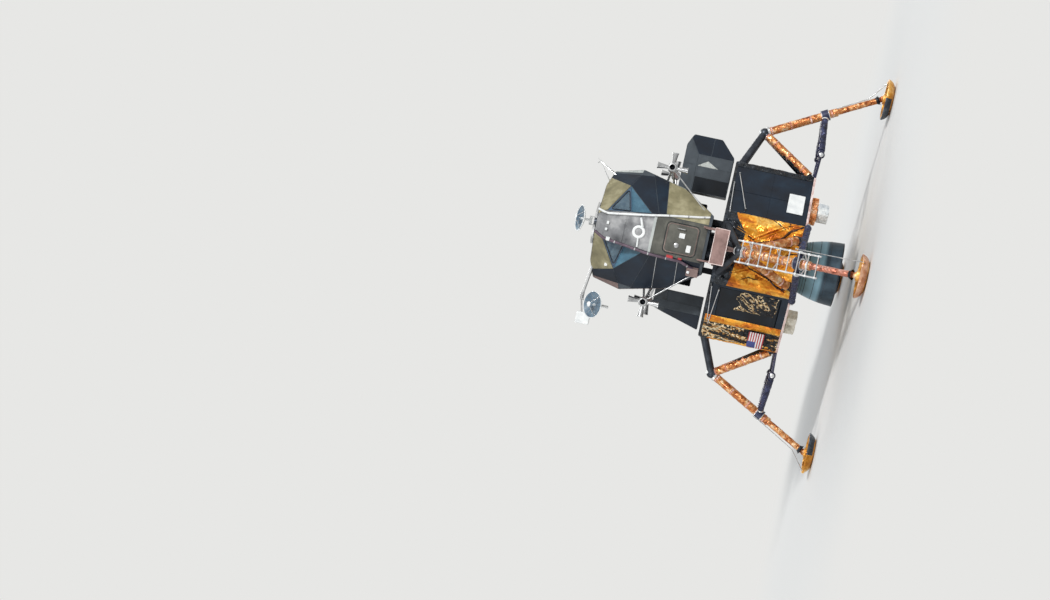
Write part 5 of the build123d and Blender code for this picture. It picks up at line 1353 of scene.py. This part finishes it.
class LANDER_OT_stage_fittings(bpy.types.Operator):
    """Adds the painted crease shadows, plates, stays, lower boxes, trim and the left diagonal's foil to the
    descent stage
    """

    bl_idname = "lander.stage_fittings"
    bl_label = "Descent stage fittings"

    def execute(self, context):
        # Dark ribbons of film that paint the shadow in the front's creases
        creases = Form()
        for number, (points, width) in enumerate(FRONT_CREASE_SHADOWS):
            fold(creases, points, width, number * 1.7)
        creases.piece("front_crease_shadows", "crease shadow film", smooth=0)
        self.foil()
        plate = diagonal_plate(1, 0.380, -0.260, 1.520, 1.885, 0.012)
        Form().slab(plate, 0.006).piece("right_blank_plate", "white paint", smooth=0, bevel=0.002)
        self.flag()
        self.stays()
        for number, (side, along, long, deep, top, bottom, finish) in enumerate(UNDER_BOXES):
            centre = on_diagonal(side, along, (top + bottom) / 2, -UNDER_INSET)
            turn = Matrix.Rotation(radians(90 - 45 * side), 3, "Z")
            form = crumpled_box(Form(), centre, (2 * long, 2 * deep, top - bottom), turn, number * 2.1)
            form.piece(f"under_box_{number}", finish, smooth=0, replaces=("lower_boxes",))
        return {"FINISHED"}

    def foil(self):
        """Foil of the left diagonal and of the bay door, and the trim round the stage's edges."""
        low, high = STAGE_BOTTOM + 0.012, BLANKET_TOP - 0.010
        on_path(diagonal_path(-1, -0.205, -0.420), low, high, "left_gold_band", "gold film", seed=4.4,
                lift=0.005)
        on_path(diagonal_path(-1, -0.415, -0.965), low, high, "left_mixed_foil", "mixed film", seed=6.1,
                deep=0.022, lift=0.006)
        on_path(diagonal_path(-1, 0.120, 0.722), DOOR_LINE + 0.030, 2.420, "door_foil", "streak film",
                seed=8.2, deep=0.016, ragged=0.30, body="bay_door")
        on_path(OCTAGON, 1.356, 1.404, "lower_edge_trim", "blush film", deep=0.005, lift=0.008, step=0.012)
        on_path(OCTAGON, 3.170, 3.222, "upper_edge_trim", "black film", deep=0.006, lift=0.010, step=0.012)

    def flag(self):
        """Striped plate on the left diagonal."""
        forms = {"red enamel": Form(), "white enamel": Form(), "blue enamel": Form()}
        strip = FLAG_HIGH / STRIPES
        field_end = FLAG_START + FLAG_WIDE * FLAG_FIELD
        field_row = STRIPES // 2
        plates = [(("red enamel", "white enamel")[k % 2], field_end if k >= field_row else FLAG_START,
                   FLAG_START + FLAG_WIDE, k, k + 1) for k in range(STRIPES)]
        plates.append(("blue enamel", FLAG_START, field_end, field_row, STRIPES))
        for finish, start, end, first, last in plates:
            low, high = FLAG_FOOT + strip * first, FLAG_FOOT + strip * last
            forms[finish].slab(diagonal_plate(-1, start, end, low, high, FLAG_LIFT), 0.004)
        for finish, form in forms.items():
            form.piece(f"striped_plate_{finish.split()[0]}", finish, smooth=0)

    def stays(self):
        """Thin rods across the top of the front diagonals, on short brackets."""
        rods = Form()
        feet = Form()
        for side, *ends in STAYS:
            rods.pipe([on_diagonal(side, along, z, STAY_LIFT) for along, z in ends], 0.011, 10)
            for along, z in ends:
                feet.pipe([on_diagonal(side, along, z, out) for out in (0.004, STAY_LIFT + 0.020)], 0.019, 10)
        rods.piece("stage_stays", "bright metal", smooth=60)
        feet.piece("stage_stay_brackets", "satin metal", smooth=60)


# Fittings of the legs and of the porch

# Turned profiles, as radius and height along the axis
CAP_FLANGE = ((0.092, 0), (0.124, 0.010), (0.124, 0.060), (0.100, 0.070))
KNEE_CAP = ((0.001, 0.128), (0.050, 0.124), (0.082, 0.108), (0.092, 0.085), (0.092, 0.070))
BALL_BOOT = ((0.064, 0.0), (0.080, 0.012), (0.078, 0.030), (0.098, 0.045), (0.094, 0.062), (0.118, 0.080))
JOINT_NOSE = ((0.050, -0.088), (0.030, -0.096), (0.0, -0.098))
JOINT_CAP = ((0.0, -0.006), (0.040, -0.006), (0.040, 0.006), (0.0, 0.012))
LEG_FLANGES = (1.372, 1.540)         # metres from the knee
LADDER_CLAMPS = (0.33, 1.01, 1.69)    # metres from the knee
RUNGS = 9
RUNG_FIRST, RUNG_PITCH = 0.18, 0.23
RAIL_OUT, RAIL_SIDE = 0.250, 0.235


class LANDER_OT_leg_fittings(bpy.types.Operator):
    """Adds knee caps, collar flanges, wrapped secondary struts, truss joints and ladder clamps"""

    bl_idname = "lander.leg_fittings"
    bl_label = "Leg fittings"

    def execute(self, context):
        for number, leg in enumerate(LEGS):
            turn = LEGS[leg]
            bright = Form().turned(CAP_FLANGE, KNEE + DOWN * 0.075, DOWN, 32)
            for down in LEG_FLANGES:
                bright.turned(hoop(0.096, 0.138, 0, 0.020, 0.003), KNEE + DOWN * down, DOWN, 32)
            for way in spokes(6, OUT):
                bright.stud(KNEE + DOWN * 0.10 + way * 0.124, way, 0.010, 0.008)
            wraps = Form()
            for side in SIDES:
                joint = mirrored(TRUSS_JOINT, side)
                top = COLLAR + ALONG_Y * side * 0.130
                wrapped_bar(wraps, top.lerp(joint, 0.16), top.lerp(joint, 0.90), 0.070, 0.010,
                            number * 2 + side)
                bright.turned(hoop(0.068, 0.082, 0, 0.044, 0.004), top.lerp(joint, 0.10), joint - top, 24)
                bright.turned(JOINT_NOSE, joint, (0, -side, 0), 20)
                bright.turned(JOINT_CAP, joint + ALONG_Y * side * 0.084, (0, side, 0), 20)
            wraps.piece(f"secondary_wrap_{leg}", "indigo film", smooth=0, turn=turn)
            bright.piece(f"leg_fittings_{leg}", "bright metal", smooth=50, turn=turn)
            cap = Form().turned(KNEE_CAP, KNEE, -DOWN, 32)
            cap.piece(f"knee_cap_{leg}", "white paint", smooth=60, turn=turn)
            boot = Form().turned(BALL_BOOT, BALL - DOWN * 0.165, DOWN, 32)
            boot.piece(f"ball_boot_{leg}", "black film", smooth=60, turn=turn)
        self.porch()
        clamps = Form()
        for down in LADDER_CLAMPS:
            clamps.turned(hoop(0.102, 0.108, -0.018, 0.018, 0.004), KNEE + DOWN * down, DOWN, 28)
        for k in range(RUNGS):
            for side in SIDES:
                place = KNEE + DOWN * (RUNG_FIRST + RUNG_PITCH * k) + OUT * RAIL_OUT
                place += ALONG_Y * side * RAIL_SIDE
                clamps.turned(hoop(0.023, 0.026, -0.020, 0.020, 0.004), place, DOWN, 14, True)
        clamps.piece("ladder_clamps", "white paint", smooth=50, turn=LEGS["front"])
        return {"FINISHED"}

    def porch(self):
        """Grip strips on the porch's deck and a light trim round its front lip."""
        strips = Form()
        for k in range(12):
            strips.box((0, -2.20 - 0.080 * k, 3.343), (0.70, 0.014, 0.008))
        strips.piece("porch_grip_strips", "dark metal", smooth=0)
        trim = Form()
        corners = [(x, -3.196, z) for x, z in ((-0.395, 3.335), (0.395, 3.335), (0.395, 3.030),
                                               (-0.395, 3.030))]
        for near, far in zip(corners, corners[1:] + corners[:1]):
            trim.pipe((near, far), 0.009, 10)
        trim.piece("porch_trim", "blush film", smooth=60)


# Fittings of the descent engine

# Outside of the engine bell, as radius and height
BELL = ((0.750, 0.360), (0.7455, 0.500), (0.7253, 0.700), (0.6883, 0.900), (0.6338, 1.100), (0.5688, 1.280),
        (0.4922, 1.450), (0.4111, 1.600), (0.3157, 1.750), (0.2040, 1.900))
# Bands round the bell: foot, height and how far they stand proud
BELL_BANDS = ((0.362, 0.030, 0.007), (0.640, 0.014, 0.006), (0.880, 0.014, 0.006), (1.080, 0.014, 0.006),
              (1.140, 0.010, 0.006), (1.200, 0.010, 0.006), (1.260, 0.010, 0.006), (1.420, 0.022, 0.012))
BELL_FLANGE = ((0.395, 1.590), (0.452, 1.592), (0.452, 1.612), (0.390, 1.618))
CHAMBER_LINE = ((0.24, 1.98), (0.262, 2.06), (0.262, 2.36), (0.21, 2.46))


def bell_radius(z):
    """Outer radius of the engine bell at a height."""
    for (r0, z0), (r1, z1) in zip(BELL, BELL[1:]):
        if z <= z1:
            return r0 + (r1 - r0) * (z - z0) / (z1 - z0)
    return BELL[-1][0]


class LANDER_OT_engine_fittings(bpy.types.Operator):
    """Adds the rim, bands, flange, bolts and pipes of the descent engine"""

    bl_idname = "lander.engine_fittings"
    bl_label = "Descent engine fittings"

    def execute(self, context):
        body = "descent_engine"
        bands = Form()
        for z, high, proud in BELL_BANDS:
            low, top = bell_radius(z), bell_radius(z + high)
            bands.turned(((low - 0.002, z), (low + proud, z + 0.002), (top + proud, z + high - 0.002),
                          (top - 0.002, z + high)), steps=72)
        bands.piece("bell_bands", "dark metal", body, smooth=40)
        flange = Form().turned(BELL_FLANGE, steps=64)
        for way in spokes(36):
            flange.stud(way * 0.436 + Vector((0, 0, 1.592)), (0, 0, -1), 0.009, 0.009)
        flange.turned(hoop(0.212, 0.228, 2.150, 2.180, 0.002), steps=48)
        flange.turned(hoop(0.212, 0.226, 2.400, 2.422, 0.002), steps=48)
        flange.piece("bell_flange", "satin metal", body, smooth=40)
        lines = Form()
        for way in spokes(4, first=radians(30)):
            lines.pipe([way * radius + Vector((0, 0, z)) for radius, z in CHAMBER_LINE], 0.014, 10)
        lines.piece("chamber_lines", "satin metal", body, smooth=60)
        return {"FINISHED"}


# Fittings of the ascent stage

DISH_WALL = 0.014
FEED_CUP = ((0.0, 0.0), (0.050, 0.0), (0.062, 0.012), (0.0, 0.030))
DISH_BOSS = ((0.030, 0.004), (0.030, 0.050), (0.020, 0.070), (0.0, 0.070))
# Places from a dish's middle to its rim where its lining and its ribs have points, as parts of its radius
LINING_PARTS = (0.07, 0.15, 0.3, 0.45, 0.6, 0.75, 0.87, 0.955)
RIB_PARTS = (0.16, 0.4, 0.65, 0.93)


def dish_fittings(name, pivot, way, offset, radius, depth, body, feed):
    """Lining, rolled rim, ribs and feed on three legs of a dish."""
    way = Vector(way).normalized()
    root = Vector(pivot) + way * offset
    side = way.orthogonal().normalized()
    up = way.cross(side)
    bowl = [(radius * part, depth * part * part + DISH_WALL) for part in LINING_PARTS]
    Form().turned(bowl, root, way, 56).piece(f"{name}_lining", "dish face", body, smooth=60)
    bright = Form()
    loop = [root + way * (depth + 0.006) + spoke * (radius - 0.003) for spoke in spokes(48, side, up)]
    bright.pipe(loop + loop[:2], 0.010, 8)
    bright.turned(FEED_CUP, root + way * feed, way, 28)
    bright.turned(DISH_BOSS, root, way, 20)
    bright.piece(f"{name}_rim_and_feed", "white paint", body, smooth=50)
    legs = Form()
    for spoke in spokes(3, side, up, 0.5):
        foot = root + way * (depth * 0.64 + DISH_WALL) + spoke * radius * 0.80
        legs.pipe([foot, root + way * feed + spoke * 0.045], 0.006, 8)
    for spoke in spokes(12, side, up):
        legs.pipe([root + way * (depth * part * part + DISH_WALL + 0.002) + spoke * radius * part
                   for part in RIB_PARTS], 0.0035, 6)
    legs.piece(f"{name}_legs", "satin metal", body, smooth=50)


# Turned shapes of a quad's nozzle: lip, throat ring and dark inside
NOZZLE_LIP = ((0.066, 0.338), (0.077, 0.338), (0.078, 0.350), (0.066, 0.353))
NOZZLE_RING = ((0.034, 0.094), (0.050, 0.096), (0.050, 0.108), (0.036, 0.112))
NOZZLE_INSIDE = ((0.0, 0.150), (0.026, 0.150), (0.046, 0.250), (0.0635, 0.348))
QUAD_SKIN = 0.0975
RADAR_LIFT = radians(68)
DIAL_ROWS = ((0.060, 0.030), (0.150, 0.022))    # distance down the console and radius of each row of dials
LATCHES = 12
LATCH_HEIGHT = Vector((0, 0, 6.10))


class LANDER_OT_ascent_fittings(bpy.types.Operator):
    """Adds nozzle lips, dish feeds, docking latches, console, roof and aft bay details to the ascent stage"""

    bl_idname = "lander.ascent_fittings"
    bl_label = "Ascent stage fittings"

    def execute(self, context):
        lips = Form()
        dark = Form()
        wrap = Form()
        for side in SIDES:
            for end in SIDES:
                hub = Vector((side * QUAD, end * QUAD, QUAD_Z))
                for way in ((0, 0, 1), (0, 0, -1), (side, 0, 0), (0, end, 0)):
                    lips.turned(NOZZLE_LIP, hub, way, 28)
                    lips.turned(NOZZLE_RING, hub, way, 24)
                    dark.turned(NOZZLE_INSIDE, hub, way, 24)
                wrap.box(hub + Vector((-side * QUAD_SKIN, 0, 0)), (0.006, 0.130, 0.130))
                wrap.box(hub + Vector((0, -end * QUAD_SKIN, 0)), (0.130, 0.006, 0.130))
        lips.piece("quad_nozzle_lips", "bright metal", smooth=50)
        dark.piece("quad_nozzle_insides", "dark metal", smooth=50)
        wrap.piece("quad_covers", "rose sheet", smooth=0, bevel=0.002)
        radar_way = (0, -cos(RADAR_LIFT), sin(RADAR_LIFT))
        dish_fittings("radar", RADAR, radar_way, 0.165, 0.300, 0.090, "radar_dish", 0.190)
        dish_fittings("antenna", HEAD, (-0.02, -0.70, 0.71), 0.300, 0.310, 0.092, "antenna_dish", 0.200)
        Form().box((-2.240, -0.850, 5.930), (0.272, 0.212, 0.312)).piece(
            "antenna_case_cover", "white paint", "antenna_head", smooth=0, bevel=0.008)
        self.docking()
        self.aft()
        self.console()
        return {"FINISHED"}

    def console(self):
        """Round dials and a row of switches on the instrument console."""
        normal = Vector((0, 0.765, 0.644))
        down = Vector((0, 0.644, -0.765))
        top = Vector((0, -1.600, 4.780))
        bezels = Form()
        faces = Form()
        for k in range(8):
            for row, radius in DIAL_ROWS:
                at = top + Vector((-0.42 + 0.12 * k, 0, 0)) + down * row
                inner = radius * 0.8
                bezels.turned(((radius, 0), (radius, 0.010), (inner, 0.012), (inner, 0.004)), at, normal, 24)
                faces.turned(((0.0, 0.005), (inner, 0.005)), at, normal, 24)
        for k in range(24):
            at = top + Vector((-0.46 + 0.04 * k, 0, 0)) + down * 0.210
            bezels.turned(((0.004, 0), (0.003, 0.022)), at, normal, 8, True)
        bezels.piece("console_bezels", "satin metal", smooth=50)
        faces.piece("console_dials", "black paint", smooth=50)

    def docking(self):
        """Latches and seal rings on the docking ring."""
        latches = Form()
        for k in range(LATCHES):
            angle = 2 * pi * (k + 0.5) / LATCHES
            way = Vector((cos(angle), sin(angle), 0))
            turn = Matrix.Rotation(angle, 3, "Z")
            latches.box(way * 0.487 + LATCH_HEIGHT, (0.045, 0.060, 0.075), turn)
            latches.stud(way * 0.512 + LATCH_HEIGHT, way, 0.014, 0.010)
        latches.piece("docking_latches", "satin metal", smooth=30, bevel=0.004)
        rings = Form()
        for radius in (0.425, 0.445):
            rings.turned(((radius, 6.184), (radius + 0.003, 6.189), (radius + 0.009, 6.189),
                          (radius + 0.012, 6.184)), steps=72)
        rings.turned(hoop(0.466, 0.474, 6.020, 6.044, 0.004), steps=72)
        rings.piece("docking_seals", "dark metal", smooth=40)

    def aft(self):
        """Rack covers and cooling ribs on the aft equipment bay."""
        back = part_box("aft_bay")[1][1] + 0.004
        covers = Form()
        ribs = Form()
        for column in range(4):
            x = -0.60 + 0.40 * column
            for row in range(3):
                z = 4.11 + 0.50 * row
                covers.box((x, back + 0.008, z), (0.36, 0.022, 0.42))
                for k in range(7):
                    ribs.box((x - 0.135 + 0.045 * k, back + 0.024, z), (0.008, 0.018, 0.34))
        covers.piece("aft_rack_covers", "slate paint", smooth=0, bevel=0.006)
        ribs.piece("aft_cooling_ribs", "pale paint", smooth=0, bevel=0.002)


# Panel, and the run from start to end

STEPS = ("finishes", "stage", "side_blankets", "strut_wraps", "pad_wraps", "skins", "cabin_face",
         "stage_fittings", "leg_fittings", "engine_fittings", "ascent_fittings")


class LANDER_PT_panel(bpy.types.Panel):
    """Lists the craft's groups of pieces"""

    bl_label = "Lunar Lander"
    bl_space_type = "VIEW_3D"
    bl_region_type = "UI"
    bl_category = "Lander"

    def draw(self, context):
        for name in LanderSizes.__annotations__:
            self.layout.prop(context.scene.lander_sizes, name)
        for step in STEPS:
            self.layout.operator(f"lander.{step}")


CLASSES = (LanderSizes, LANDER_OT_stage, LANDER_OT_finishes, LANDER_OT_side_blankets, LANDER_OT_strut_wraps,
           LANDER_OT_pad_wraps, LANDER_OT_skins, LANDER_OT_cabin_face, LANDER_OT_stage_fittings,
           LANDER_OT_leg_fittings, LANDER_OT_engine_fittings, LANDER_OT_ascent_fittings, LANDER_PT_panel)


def register():
    """Makes the classes and the settings known to Blender."""
    for one in CLASSES:
        bpy.utils.register_class(one)
    bpy.types.Scene.lander_sizes = PointerProperty(type=LanderSizes)


def unregister():
    """Takes the settings and the classes out again."""
    del bpy.types.Scene.lander_sizes
    for one in reversed(CLASSES):
        bpy.utils.unregister_class(one)


def main():
    """Builds every piece."""
    register()
    for step in STEPS:
        getattr(bpy.ops.lander, step)()


if __name__ == "__main__":
    main()
